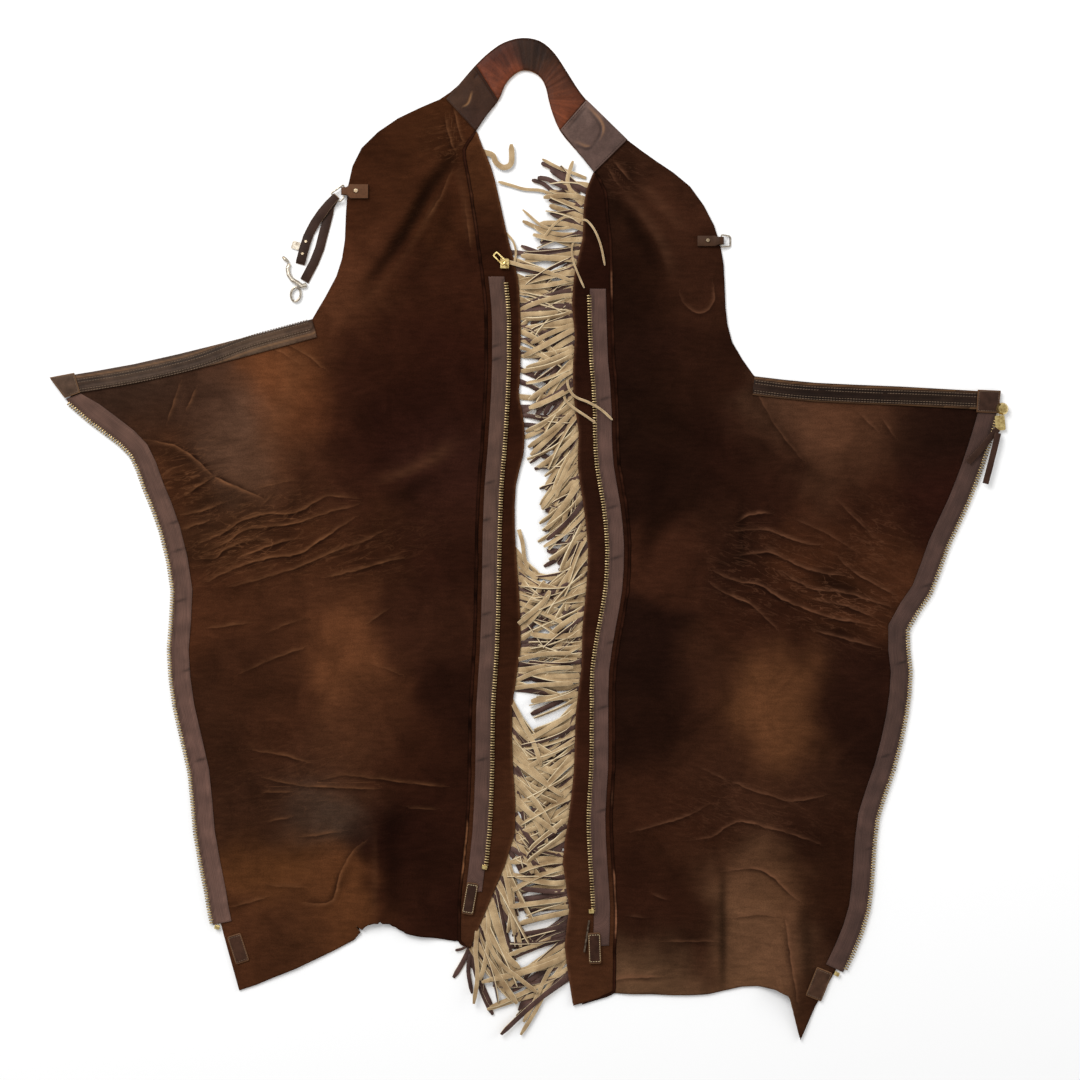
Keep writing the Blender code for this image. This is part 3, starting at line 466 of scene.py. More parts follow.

# Soft folds, each (half width, height, shade, line), in millimetres. A minus shade is painted shade in the
# fold, a plus shade a painted highlight on it.
LEFT_FOLDS = [
    (7, -3.4, -1.3, [(-76, 420), (-95, 392), (-111, 370), (-132, 331), (-157, 294), (-180, 270)]),
    (9, 1.8, 0.16, [(-77, 406), (-95, 367), (-118, 340), (-140, 307), (-161, 280), (-178, 256)]),
    (9, -1.6, -0.4, [(-84, 384), (-93, 331), (-108, 305), (-131, 269), (-157, 248)]),
    (6, 0.8, 0.10, [(-77, 401), (-70, 358), (-62, 318)]),
    (9, -0.8, -0.3, [(-430, 102), (-385, 94), (-350, 74)]),
    (9, -1.0, -0.40, [(-372, 30), (-340, 42), (-310, 50)]),
    (10, -1.0, -0.30, [(-160, 40), (-120, 56), (-92, 66)]),
    (8, 1.6, 0.12, [(-166, 62), (-134, 70), (-104, 86), (-78, 104)]),
    (9, -1.0, -0.3, [(-330, -58), (-292, -52)]),
    (10, -1.2, -0.45, [(-150, -262), (-148, -340), (-146, -412)]),
    (5, 1.2, 0.10, [(-163, -300), (-166, -410)]),
    (5, -0.9, -0.4, [(-190, -346), (-200, -366), (-222, -400)]),
    (14, 1.4, 0.1, [(-250, 210), (-260, 150), (-290, 90)]),
]
RIGHT_FOLDS = [
    (8, 1.6, 0.16, [(94, 374), (112, 352), (130, 330), (144, 304), (152, 282)]),
    (8, -1.8, -0.60, [(86, 368), (104, 344), (122, 318), (136, 292)]),
    (6, 0.8, 0.10, [(116, 384), (166, 330)]), (5, -0.9, -0.40, [(100, 404), (108, 394), (104, 382)]),
    (6, -1.0, -0.36, [(231, 172), (240, 150), (309, 61)]),
    (12, -1.8, -0.60, [(172, 40), (152, 30), (134, 12), (124, -12), (122, -32)]),
    (7, 1.0, 0.10, [(184, 30), (164, 22), (148, 6), (138, -14)]),
    (4, -0.6, -0.5, [(226, 50), (226, 0), (226, -40)]),
    (9, -1.2, -0.7, [(300, -42), (326, -46), (352, -52)]),
    (7, -1.0, -0.5, [(300, -92), (330, -97), (366, -102)]),
    (4, -1.2, -0.8, [(206, -352), (206, -420), (206, -488)]),
    (7, -0.6, -0.6, [(292, -392), (296, -440), (300, -490)]),
    (8, 0.8, 0.1, [(281, -360), (281, -420), (284, -492)]),
    (6, 1.2, 0.2, [(84, -486), (98, -470), (134, -470)]),
]
# Sharp creases, each (strength, line). The painted highlight of the crest is on the line and its painted
# shade to the right of it.
LEFT_CREASES = [
    (0.9, [(-352, -3), (-332, 5), (-307, 20), (-283, 27), (-252, 28), (-227, 41), (-214, 46), (-186, 44)]),
    (1.0, [(-350, -14), (-326, -4), (-304, 10), (-275, 14), (-247, 18), (-222, 27), (-184, 37)]),
    (0.8, [(-352, -21), (-337, -20), (-324, -9), (-294, 0), (-276, -2)]),
    (0.8, [(-307, -18), (-268, -3), (-248, 0)]),
    (1.0, [(-344, -45), (-318, -32), (-283, -21), (-249, -16), (-227, -3), (-200, 15), (-187, 23)]),
    (0.9, [(-316, -50), (-278, -39), (-247, -29), (-217, -16), (-176, -1), (-160, 7)]),
    (0.9, [(-216, -40), (-197, -36), (-158, -25), (-136, -20)]),
    (0.6, [(-345, -95), (-322, -92), (-298, -89)]), (0.6, [(-172, -89), (-153, -76)]),
    (0.35, [(-280, -100), (-260, -90), (-238, -85)]),
    (0.9, [(-285, 43), (-310, 54), (-337, 66), (-354, 82), (-381, 100), (-415, 106)]),
    (0.8, [(-370, 46), (-354, 57), (-338, 67)]), (0.5, [(-288, 55), (-264, 61), (-250, 62)]),
    (0.6, [(-285, 37), (-276, 47)]), (0.7, [(-374, 26), (-352, 30), (-330, 38)]),
    (0.6, [(-372, 10), (-344, 20)]), (0.6, [(-374, 167), (-380, 148), (-387, 128)]),
    (0.5, [(-358, 159), (-367, 139)]), (0.6, [(-262, 210), (-240, 198), (-222, 184)]),
    (0.4, [(-276, 206), (-262, 198), (-246, 188)]), (0.7, [(-308, -143), (-276, -128), (-242, -116)]),
    (0.5, [(-167, -133), (-140, -144)]), (0.7, [(-81, 459), (-76, 438), (-69, 420)]),
    (0.6, [(-90, 450), (-86, 430), (-80, 414)]), (0.6, [(-78, 420), (-61, 426)]),
    (0.5, [(-69, 356), (-63, 312)]), (0.5, [(-84, 392), (-96, 364), (-110, 342)]),
    (0.7, [(-296, -226), (-268, -230), (-239, -238)]),
    (0.8, [(-221, -257), (-196, -252), (-140, -259), (-93, -265)]),
    (0.8, [(-285, -255), (-248, -263), (-205, -265), (-167, -267)]), (0.5, [(-285, -271), (-254, -270)]),
    (0.5, [(-280, -302), (-256, -297)]), (0.6, [(-242, -318), (-203, -313)]),
    (0.4, [(-129, -287), (-100, -289)]),
    (0.9, [(-178, -324), (-192, -338), (-204, -362), (-212, -388), (-240, -390)]),
    (0.6, [(-280, -370), (-243, -372)]), (0.7, [(-318, -393), (-300, -388), (-283, -383)]),
]
RIGHT_CREASES = [
    (0.9, [(224, 20), (235, 26), (254, 28)]), (0.9, [(221, 9), (249, 10), (262, 7), (292, -4), (308, -6)]),
    (1.0, [(225, -17), (249, -14), (260, -15), (279, -24), (304, -34), (336, -39)]),
    (1.0, [(197, -35), (221, -45), (245, -49), (270, -64), (301, -77), (323, -84), (367, -92)]),
    (0.8, [(194, -48), (205, -56), (235, -69), (245, -77), (262, -94)]),
    (0.9, [(273, -37), (289, -47), (304, -53), (342, -58), (358, -64), (384, -72)]),
    (0.8, [(331, -21), (350, -37), (378, -53), (388, -58)]), (0.8, [(304, -64), (339, -72), (367, -83)]),
    (0.7, [(304, -98), (339, -107), (372, -116)]), (0.4, [(286, 20), (318, 6), (350, -14)]),
    (0.4, [(330, 40), (352, 18), (376, -2)]), (0.5, [(354, 133), (370, 117)]),
    (0.5, [(377, 129), (389, 111)]), (0.6, [(161, 261), (166, 250), (183, 241), (196, 254), (196, 272)]),
    (0.6, [(92, 402), (98, 394), (106, 386)]), (0.5, [(84, 396), (90, 386), (96, 378)]),
    (0.35, [(237, 174), (247, 150), (268, 114), (290, 86)]),
    (0.7, [(209, -262), (221, -261), (236, -268), (257, -274), (281, -280), (314, -274)]),
    (0.6, [(107, -313), (137, -306), (170, -295), (188, -285)]), (0.4, [(131, -379), (146, -385)]),
    (0.7, [(170, -322), (194, -318), (215, -304), (230, -302), (257, -309), (281, -315), (308, -325)]),
    (1.0, [(209, -355), (230, -352), (248, -354), (263, -364), (275, -376), (287, -386)]),
    (0.8, [(272, -400), (278, -442), (286, -494)]), (0.5, [(215, -405), (245, -401), (275, -403)]),
    (0.5, [(143, -430), (200, -430)]), (0.4, [(107, -403), (122, -405)]),
    (0.9, [(84, -484), (94, -470), (137, -468)]), (0.4, [(180, -244), (198, -252), (214, -260)]),
]

# Colour around each place, from 0-255 display numbers.
LEFT_PATCHES = [
    (-96, 438, (60, 32, 16)), (-139, 416, (54, 28, 14)), (-160, 363, (56, 29, 15)),
    (-107, 363, (55, 28, 14)), (-64, 384, (52, 26, 13)), (-187, 288, (68, 37, 21)),
    (-203, 262, (74, 42, 25)), (-139, 277, (48, 23, 12)), (-86, 256, (45, 21, 11)),
    (-139, 127, (36, 15, 9)), (-96, 202, (42, 18, 10)), (-439, 149, (50, 33, 23)),
    (-262, 160, (98, 56, 31)), (-246, 130, (84, 47, 26)), (-262, 190, (76, 44, 25)),
    (-298, 92, (84, 52, 35)), (-316, 116, (80, 56, 42)), (-353, 127, (58, 36, 25)),
    (-208, 150, (42, 20, 11)), (-375, 63, (68, 37, 20)), (-407, 88, (72, 40, 22)), (-321, 20, (74, 42, 23)),
    (-250, -4, (62, 34, 19)), (-160, -10, (50, 26, 14)), (-107, 20, (40, 19, 11)), (-96, 74, (45, 22, 15)),
    (-193, 74, (43, 20, 12)), (-332, -65, (64, 35, 20)), (-203, -119, (86, 50, 29)),
    (-193, -172, (88, 52, 31)), (-195, -222, (76, 45, 28)), (-290, -151, (52, 28, 16)),
    (-332, -215, (48, 26, 15)), (-118, -87, (47, 24, 14)), (-96, -172, (34, 15, 8)),
    (-86, -279, (38, 17, 9)), (-246, -237, (60, 34, 21)), (-229, -282, (62, 46, 36)),
    (-300, -301, (50, 28, 17)), (-280, -348, (82, 48, 25)), (-204, -393, (86, 50, 27)),
    (-246, -412, (62, 35, 20)), (-149, -333, (33, 13, 7)), (-107, -354, (40, 19, 10)),
    (-300, -436, (66, 37, 21)), (-240, 60, (52, 27, 15)), (-260, -80, (60, 33, 19)),
    (-130, -410, (44, 21, 12)), (-420, 130, (46, 29, 20)), (-150, 200, (42, 19, 10)),
    (-459, 143, (50, 32, 24)), (-415, 148, (56, 38, 28)), (-426, 117, (36, 22, 16)),
    (-393, 120, (44, 28, 20)), (-317, 98, (84, 60, 46)), (-306, 69, (80, 58, 44)),
    (-267, 137, (98, 56, 32)), (-251, 159, (92, 52, 28)), (-234, 119, (60, 30, 18)),
    (-214, 148, (34, 14, 8)), (-196, 174, (40, 18, 10)), (-273, 100, (80, 48, 30)),
    (-262, 71, (72, 44, 28)), (-384, 87, (76, 46, 28)), (-336, 50, (50, 30, 18)), (-349, 21, (50, 29, 17)),
    (-306, 25, (60, 36, 22)), (-160, -200, (46, 22, 12)), (-140, -240, (44, 21, 11)),
    (-120, -320, (30, 12, 7)), (-80, -390, (34, 14, 8)), (-270, -290, (44, 24, 14)),
    (-180, 110, (32, 13, 7)), (-110, 160, (32, 13, 7)), (-100, -30, (40, 18, 10)),
    (-260, -190, (56, 30, 17)),
]
RIGHT_PATCHES = [
    (96, 416, (46, 25, 15)), (75, 363, (31, 15, 8)), (128, 352, (50, 27, 16)), (171, 341, (52, 28, 17)),
    (114, 296, (28, 12, 6)), (171, 288, (46, 24, 14)), (118, 202, (31, 14, 8)), (96, 127, (25, 11, 6)),
    (182, 170, (37, 18, 10)), (160, 74, (29, 13, 7)), (156, -17, (52, 27, 16)), (205, -1, (38, 19, 11)),
    (268, 106, (42, 21, 12)), (326, 130, (78, 48, 31)), (346, 104, (68, 41, 27)), (417, 106, (27, 11, 7)),
    (455, 122, (31, 15, 9)), (374, 42, (46, 23, 13)), (310, -22, (60, 32, 18)), (353, -55, (64, 35, 20)),
    (246, -87, (46, 23, 13)), (118, -119, (27, 12, 7)), (128, -194, (29, 13, 7)), (259, -170, (84, 51, 30)),
    (262, -212, (84, 51, 30)), (332, -172, (36, 17, 10)), (353, -237, (31, 14, 8)),
    (225, -269, (58, 33, 21)), (139, -301, (50, 26, 15)), (118, -386, (43, 21, 12)),
    (182, -343, (48, 25, 14)), (170, -440, (41, 20, 11)), (241, -418, (102, 70, 49)),
    (256, -386, (90, 58, 37)), (312, -386, (42, 21, 11)), (321, -333, (39, 19, 10)),
    (289, -500, (52, 29, 17)), (200, -150, (50, 27, 16)), (240, 60, (40, 20, 11)),
    (190, -230, (50, 27, 16)), (300, -270, (52, 29, 18)), (262, -450, (98, 66, 46)),
    (176, -410, (36, 17, 9)), (317, 126, (80, 50, 34)), (335, 105, (76, 48, 32)), (280, 131, (70, 46, 32)),
    (400, 105, (36, 20, 12)), (433, 61, (38, 16, 10)), (367, 83, (46, 24, 14)), (247, 61, (34, 15, 9)),
    (240, -470, (98, 68, 46)), (240, -400, (100, 70, 48)), (230, -366, (84, 56, 38)),
    (90, -476, (92, 66, 46)), (120, -474, (92, 66, 46)), (150, -480, (84, 58, 40)),
    (100, -440, (40, 19, 10)), (150, -300, (44, 22, 12)), (130, 60, (26, 11, 6)), (90, 250, (24, 10, 5)),
    (300, -340, (34, 16, 9)), (314, -430, (36, 17, 9)), (200, 100, (32, 14, 8)), (140, 130, (27, 12, 6)),
]
# Areas of fine wrinkles: centre, half sizes, lie in degrees, height of the waves, how plainly they read in
# painted highlight and shade.
LEFT_WRINKLES = [
    ((-300, 4), (76, 44), 17, 1.4, 1.0), ((-190, -20), (80, 34), 14, 0.8, 0.5),
    ((-366, 70), (40, 36), 30, 1.0, 1.0), ((-150, 330), (70, 90), 60, 0.5, 0.1),
    ((-250, -260), (90, 60), -5, 0.4, 0.3), ((-85, 425), (30, 26), -65, 0.8, 0.6),
]
RIGHT_WRINKLES = [
    ((330, -60), (76, 44), -16, 1.4, 1.0), ((250, -40), (60, 50), -20, 0.9, 0.7),
    ((370, 0), (40, 40), -40, 0.8, 0.6), ((100, 392), (26, 26), -50, 0.9, 0.5),
    ((230, -290), (90, 50), 0, 0.5, 0.4), ((260, -420), (30, 70), 90, 0.4, 0.2),
]


def wrinkle(places, groups, seed):
    """Rise of groups of fine, uneven wrinkles that all lie one way, and how plainly they read."""
    rise = np.zeros(len(places))
    plain = np.zeros(len(places))
    for group, (centre, halves, lie, height, read) in enumerate(groups):
        turn = math.radians(lie)
        away = places[:, :2] - np.array(centre)
        along = away[:, 0] * math.cos(turn) + away[:, 1] * math.sin(turn)
        across = -away[:, 0] * math.sin(turn) + away[:, 1] * math.cos(turn)
        share = np.exp(-((along / halves[0]) ** 2) - ((across / halves[1]) ** 2))
        plain = np.maximum(plain, read * share)
        for index in np.nonzero(share > 0.05)[0]:
            spot = Vector((along[index] / 38, across[index] / 8.5, seed + group))
            wave = 1 - 2.6 * abs(noise.noise(spot)) - 0.8 * abs(noise.noise(spot * 2.3))
            rise[index] += height * share[index] * max(wave, -0.6)
    return rise, plain


def keep_clear(places, covers, fade):
    """How freely the suede may rise: nothing under the pieces sewn on it, fully a little beside them."""
    points = []
    for cover in covers:
        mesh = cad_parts[cover].data
        flat = [Vector((vert.co.x, vert.co.y, 0)) for vert in mesh.vertices]
        points.append(BVHTree.FromPolygons(flat, [tuple(face.vertices) for face in mesh.polygons]))
    gaps = np.array([
        min(tree.find_nearest(Vector((x * MM, y * MM, 0)))[3] for tree in points) for x, y, _ in places
    ])
    share = np.clip(gaps / (fade * MM), 0, 1)
    return share * share * (3 - 2 * share)


SETTLE_ROUNDS = 28
COVER_FADE = 16
NAP_REACH = 25
# The pieces that lie on a leg.
COVERS = ["thigh_band_", "zip_tape_outer_", "placket_", "belt_patch_", "band_end_", "zip_end_outer_",
          "ring_tab_", "zip_stop_outer_", "zip_tape_inner_"]
for side, folds, creases, patches, wrinkles, flat_size, flat_area in [
    ("l", LEFT_FOLDS, LEFT_CREASES, LEFT_PATCHES, LEFT_WRINKLES, (0.47, 0.98), 0.25),
    ("r", RIGHT_FOLDS, RIGHT_CREASES, RIGHT_PATCHES, RIGHT_WRINKLES, (0.46, 1.0), 0.235),
]:
    cloth = cut_cloth("leg_panel_" + side, CLOTH_CELL)
    settle(cloth, SETTLE_ROUNDS)
    places = places_of(cloth)
    free = keep_clear(places, [part + side for part in COVERS], COVER_FADE)
    rise, shade = fold(places, folds)
    fine_rise, wrinkled = wrinkle(places, wrinkles, 3.7 if side == "l" else 9.2)
    gap, power = crease_marks(places, creases)
    fine_rise += 1.2 * power * (np.exp(-(((gap + 1) / 3.2) ** 2)) - 0.8 * np.exp(-(((gap - 4) / 3) ** 2)))
    swell = waves(places, 70, 5.0) + 0.5
    lifted = places[:, 2] + free * (rise + fine_rise + 1.6 * np.clip(swell, 0, 1))
    places[:, 2] = np.maximum(lifted, SUEDE)
    for vert, place in zip(cloth.verts, places):
        vert.co.z = place[2] * MM
    bmesh.ops.smooth_vert(cloth, verts=cloth.verts, factor=0.3, use_axis_z=True)
    colours = dye(places, patches, NAP_REACH)
    # Painted shade in the fold troughs and over the wrinkled areas, and the whole panel a little darker.
    colours = colours * np.exp(1.2 * np.clip(shade, -1.4, 0) - 0.3 * wrinkled - 0.06)[:, None]
    panel = make_piece("leg_suede_" + side, cloth)
    # The plus shade of the folds goes into the rub value as a painted highlight on their crests.
    stain(panel, colours, np.clip(shade, 0, 0.6))
    mark(panel, "wrinkled", wrinkled)
    mark(panel, "crease_gap", gap)
    mark(panel, "crease_power", power)
    dress(panel, "leg_panel_" + side, "suede", leg_suede[side], suede_edge)
    thicken(panel, SUEDE, rim=1)


# ---------------------------------------------------------------- plackets
# Inside each seam runs a narrow strip of the same suede that backs the front zip.
# Its free edge covers the root of the fringe; the seam beside the leg is turned and ridged.
PLACKET_CELL = 2.2
PLACKET_PATCHES = {
    "l": [(-60, 400, (60, 33, 17)), (-40, 300, (38, 17, 8)), (-20, 150, (40, 18, 9)), (-25, 0, (42, 20, 10)),
          (-20, -200, (46, 23, 12)), (-30, -330, (58, 32, 18)), (-60, -410, (60, 34, 20))],
    "r": [(50, 370, (34, 15, 8)), (60, 250, (32, 13, 7)), (60, 60, (38, 18, 10)), (66, -100, (42, 20, 11)),
          (52, -270, (48, 24, 14)), (45, -400, (56, 31, 18)), (50, -480, (66, 38, 22))],
}


def edge_line(node_name, side, step=4.0):
    """The left (-1) or right (+1) edge of an upright CAD strip, from top to bottom, in millimetres."""
    solid = bmesh.new()
    solid.from_mesh(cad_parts[node_name].data)
    bmesh.ops.remove_doubles(solid, verts=solid.verts, dist=0.001 * MM)
    ends = np.array([[edge.verts[0].co[:], edge.verts[1].co[:]] for edge in solid.edges]) / MM
    solid.free()
    low, high = (np.array(corner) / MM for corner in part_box(node_name))
    line = []
    for level in np.arange(high[1] - 0.2, low[1] + 0.2, -step):
        crossing = (ends[:, 0, 1] - level) * (ends[:, 1, 1] - level) <= 0
        crossing &= abs(ends[:, 0, 1] - ends[:, 1, 1]) > 0.01
        start, end = ends[crossing, 0], ends[crossing, 1]
        share = (level - start[:, 1]) / (end[:, 1] - start[:, 1])
        across = start[:, 0] + share * (end[:, 0] - start[:, 0])
        depth = start[:, 2] + share * (end[:, 2] - start[:, 2])
        best = (across * side).max()
        at_edge = across * side > best - 0.05
        line.append(Vector((best * side, level, depth[at_edge].max())))
    return line


SEAM_WIDTH = 3.4
SEAM_RISE = 0.7
# Where the seam shows its pale raw edge: from, to (height), strength.
RAW_STRETCHES = {
    "l": [(-300, -366, 0.9), (395, 330, 0.1)],
    "r": [(288, 256, 0.9), (-352, -428, 1.1), (-268, -286, 0.7), (150, 60, 0.06)],
}


def seam_ridge(name, line, raw_stretches):
    """The turned seam between leg and placket: a low, slightly uneven ridge along the join."""
    form = bmesh.new()
    steps = len(line) - 1
    made = bmesh.ops.create_grid(form, x_segments=steps, y_segments=6, size=1.0)
    colours, rubs = [], []
    for vert in made["verts"]:
        index = round((vert.co.x + 1) / 2 * steps)
        part = vert.co.y
        ahead = (line[min(index + 1, steps)] - line[max(index - 1, 0)]).to_2d().normalized()
        wave = noise.noise(Vector((line[index].y / 13, 0.5, line[index].x)))
        spot = line[index].to_2d() + Vector((-ahead.y, ahead.x)) * (part * SEAM_WIDTH / 2 + 0.5 * wave)
        rise = SUEDE + 0.5 + SEAM_RISE * (0.8 + 0.5 * wave) * math.cos(part * math.pi / 2) ** 0.7
        vert.co = (spot.x * MM, spot.y * MM, rise * MM)
        raw = 0
        for top, bottom, strength in raw_stretches:
            raw += strength * min(max(min(top - spot.y, spot.y - bottom) / 8, 0), 1)
        rubs.append(raw * max(0, 1 - abs(part - 0.1) * 1.2) * (0.8 + wave))
        # Painted light and shade: the ridge is lighter along its crest, darker down its sides, and lighter
        # where its wave lifts it.
        colours.append(linear((34, 15, 8)) * (1 + 0.9 * wave) * (1.2 - 0.6 * abs(part)))
    ridge = make_piece(name, form)
    stain(ridge, np.array(colours), np.clip(rubs, 0, 1))
    ridge.data.materials.append(leg_suede[name[-1]])
    ridge.data.materials.append(suede_edge)
    thicken(ridge, 0.5)
    return ridge


placket_edges = {"l": edge_line("placket_l", 1), "r": edge_line("placket_r", -1)}
seam_lines = {"l": edge_line("placket_l", -1), "r": edge_line("placket_r", 1)}
for side, flat_size, flat_area in [("l", (0.05, 0.9), 0.035), ("r", (0.06, 0.93), 0.038)]:
    cloth = cut_cloth("placket_" + side, PLACKET_CELL)
    settle(cloth, 3)
    places = places_of(cloth)
    colours = dye(places, PLACKET_PATCHES[side], 45)
    gap, _, _ = near_line(places[:, :2], placket_edges[side])
    # A painted highlight along the free edge, carried by the rub value.
    rub_and_highlight = 0.35 * np.exp(-((gap / 1.6) ** 2))
    placket = make_piece("placket_suede_" + side, cloth)
    stain(placket, colours, rub_and_highlight)
    dress(placket, "placket_" + side, "suede", leg_suede[side], suede_edge)
    thicken(placket, SUEDE, rim=1)
    ridge = seam_ridge("seam_ridge_" + side, seam_lines[side], RAW_STRETCHES[side])


# ---------------------------------------------------------------- fringe
# Two rows of narrow strips cut from the same hide, tan on the flesh face and dyed on the grain face.
# Each row is sewn under a placket's free edge; the strips fall across the gap and over each other.
STRIP_WIDTH = 5.6
STRIP_THICK = 1.3
STRIP_PLY = 1.5
FLOOR_LEVEL = 0.8
# Along each placket, in millimetres and degrees: from and to which height, pitch, first and last lean,
# length, spread of the lean, share of dark faces, layers.
# A lean of 0 points straight over the gap, 90 towards the hems.
RIGHT_COMBS = [
    (376, 334, 6.0, -32, -14, 46, 16, 0.35, 3), (334, 312, 6.0, -22, 30, 56, 14, 0.25, 3),
    (312, 258, 4.2, 2, 16, 66, 13, 0.25, 4), (264, 222, 5.0, -4, 6, 60, 8, 0.7, 1),
    (258, 214, 4.6, 16, 26, 63, 10, 0.12, 4), (214, 150, 4.4, 34, 40, 66, 8, 0.12, 4),
    (150, 60, 4.6, 50, 54, 70, 7, 0.08, 4), (60, -20, 4.6, 52, 46, 68, 9, 0.1, 4),
    (150, -24, 7.0, 8, 16, 46, 8, 0.96, 1), (-20, -66, 4.8, 34, 20, 66, 12, 0.15, 4),
    (-66, -112, 5.0, 26, 26, 66, 12, 0.2, 4), (-112, -166, 5.4, 4, 12, 62, 12, 0.12, 4),
    (-166, -262, 4.4, 34, 40, 64, 8, 0.06, 4), (-262, -318, 4.4, 26, 32, 66, 7, 0.06, 4),
    (-318, -340, 5.4, 6, 14, 56, 8, 0.8, 1), (-338, -400, 4.3, 2, 6, 62, 6, 0.08, 4),
    (-400, -426, 5.0, 16, 6, 70, 10, 0.5, 3), (-426, -470, 6.5, 22, 34, 92, 9, 0.2, 4),
]
LEFT_COMBS = [
    (308, 256, 6.0, 6, 18, 58, 14, 0.3, 2), (256, 214, 7.0, 2, 24, 56, 10, 0.3, 2),
    (214, 150, 16.0, 10, 20, 40, 12, 0.5, 1), (140, 122, 9.0, -4, -10, 30, 8, 1.0, 2),
    (-6, -30, 8.0, 60, 50, 40, 14, 0.1, 2), (-34, -80, 7.0, 20, 34, 56, 14, 0.2, 3),
    (-80, -120, 6.5, -44, -30, 58, 12, 0.05, 4), (-120, -160, 7.0, -6, -2, 62, 8, 0.05, 4),
    (-172, -214, 8.0, 56, 50, 62, 8, 0.1, 3), (-210, -284, 4.6, 44, 40, 68, 8, 0.04, 5),
    (-284, -330, 5.4, 62, 34, 54, 10, 0.06, 3), (-330, -372, 4.6, 78, 66, 82, 8, 0.03, 4),
    (-372, -432, 4.6, 84, 56, 84, 9, 0.05, 4),
]
# Strips that lie apart from their rows: (level, dark face, width, line).
STRAY_STRIPS_R = [
    (5.2, False, 2.2, [(55, 342), (62, 339), (70, 328), (76, 312), (80, 292)]),
    (4.8, False, 2.0, [(50, 322), (45, 313), (46, 298), (51, 284), (58, 268)]),
    (7.4, False, 2.6, [(40, 172), (41, 162), (48, 152), (62, 146), (76, 138), (88, 127)]),
    (6.6, False, 2.6, [(36, 158), (38, 148), (48, 139), (60, 131), (70, 124)]),
    (3.6, False, 3.4, [(60, 386), (46, 391), (30, 397), (13, 406)]),
    (4.4, False, 4.2, [(54, 366), (44, 372), (40, 384), (46, 404)]),
    (2.8, False, 3.4, [(52, 356), (34, 362), (14, 372), (-6, 374), (-20, 378), (-34, 382)]),
    (5.0, False, 2.6, [(56, 340), (38, 344), (24, 334), (12, 318)]),
    (4.2, False, 3.0, [(54, 336), (36, 332), (14, 334), (-8, 352)]),
    (2.6, False, 4.4, [(52, 326), (30, 326), (10, 332), (-8, 340)]),
    (4.4, True, 5.0, [(54, 372), (36, 376), (20, 384), (8, 386)]),
    (2.4, True, 5.0, [(50, 378), (34, 390), (22, 398), (12, 402)]),
    (2.0, True, 4.4, [(50, 364), (30, 368), (14, 380), (2, 384)]),
    (3.4, False, 4.4, [(40, -448), (22, -474), (6, -504), (-10, -530)]),
    (4.6, False, 4.4, [(38, -438), (20, -462), (4, -496), (-7, -516)]),
    (3.0, False, 4.6, [(38, -468), (14, -484), (-18, -494), (-46, -503)]),
    (5.8, False, 4.4, [(34, -420), (10, -432), (-12, -440), (-26, -446)]),
]
STRAY_STRIPS_L = [
    (4.0, False, 6.0, [(-50, 414), (-40, 410), (-36, 402), (-28, 397), (-20, 402), (-20, 422)]),
    (3.0, False, 2.4, [(-26, 328), (-18, 318), (-15, 306), (-17, 294)]),
    (6.8, False, 4.2, [(-28, 298), (-10, 292), (14, 286), (44, 276)]),
    (5.6, False, 4.0, [(-14, 206), (-2, 202), (12, 196), (24, 190)]),
    (6.0, False, 5.2, [(-12, 240), (4, 240), (18, 241), (30, 242)]),
    (4.0, False, 4.4, [(-12, 10), (-8, -4), (-6, -20), (-2, -32)]),
    (8.6, False, 4.6, [(-16, -130), (6, -124), (24, -122), (44, -122)]),
    (9.0, False, 4.6, [(-16, -152), (6, -142), (26, -138), (46, -137)]),
    (8.8, False, 4.6, [(-18, -160), (4, -156), (26, -155), (46, -154)]),
    (8.4, False, 4.4, [(-14, -92), (-4, -84), (10, -72), (18, -62)]),
    (8.0, False, 4.8, [(-20, -172), (-8, -196), (4, -218), (12, -242)]),
    (7.6, False, 4.6, [(-56, -414), (-58, -440), (-56, -466), (-60, -496)]),
    (8.0, False, 4.6, [(-50, -404), (-44, -430), (-32, -452), (-10, -470), (8, -484)]),
    (2.2, True, 3.0, [(-64, -432), (-72, -438), (-80, -440)]),
    (2.2, True, 4.4, [(-64, -444), (-66, -462), (-62, -486)]),
]


def lay_strip(form, line, width, levels, rolls):
    """A ribbon along a line, narrowed at its far end, rolled about its own length."""
    steps = len(line) - 1
    made = bmesh.ops.create_grid(form, x_segments=steps, y_segments=1, size=1.0)
    for vert in made["verts"]:
        index = round((vert.co.x + 1) / 2 * steps)
        hand = 1 if vert.co.y > 0 else -1
        ahead = line[min(index + 1, steps)] - line[max(index - 1, 0)]
        ahead.normalize()
        taper = 0.55 if index == steps else 1.0
        reach = hand * width / 2 * taper
        roll = rolls[index]
        level = max(levels[index], FLOOR_LEVEL + abs(math.sin(roll)) * width / 2)
        spot = line[index] + Vector((-ahead.y, ahead.x)) * reach * math.cos(roll)
        vert.co = (spot.x * MM, spot.y * MM, (level + reach * math.sin(roll)) * MM)


def comb_line(root, lean, turn, length, way, steps):
    """A strip's line from its root: it leaves with one lean and ends with another."""
    line = [root]
    for step in range(steps):
        angle = math.radians(lean + (turn - lean) * (step + 0.5) / steps)
        line.append(line[-1] + Vector((way * math.cos(angle), -math.sin(angle))) * length / steps)
    return line


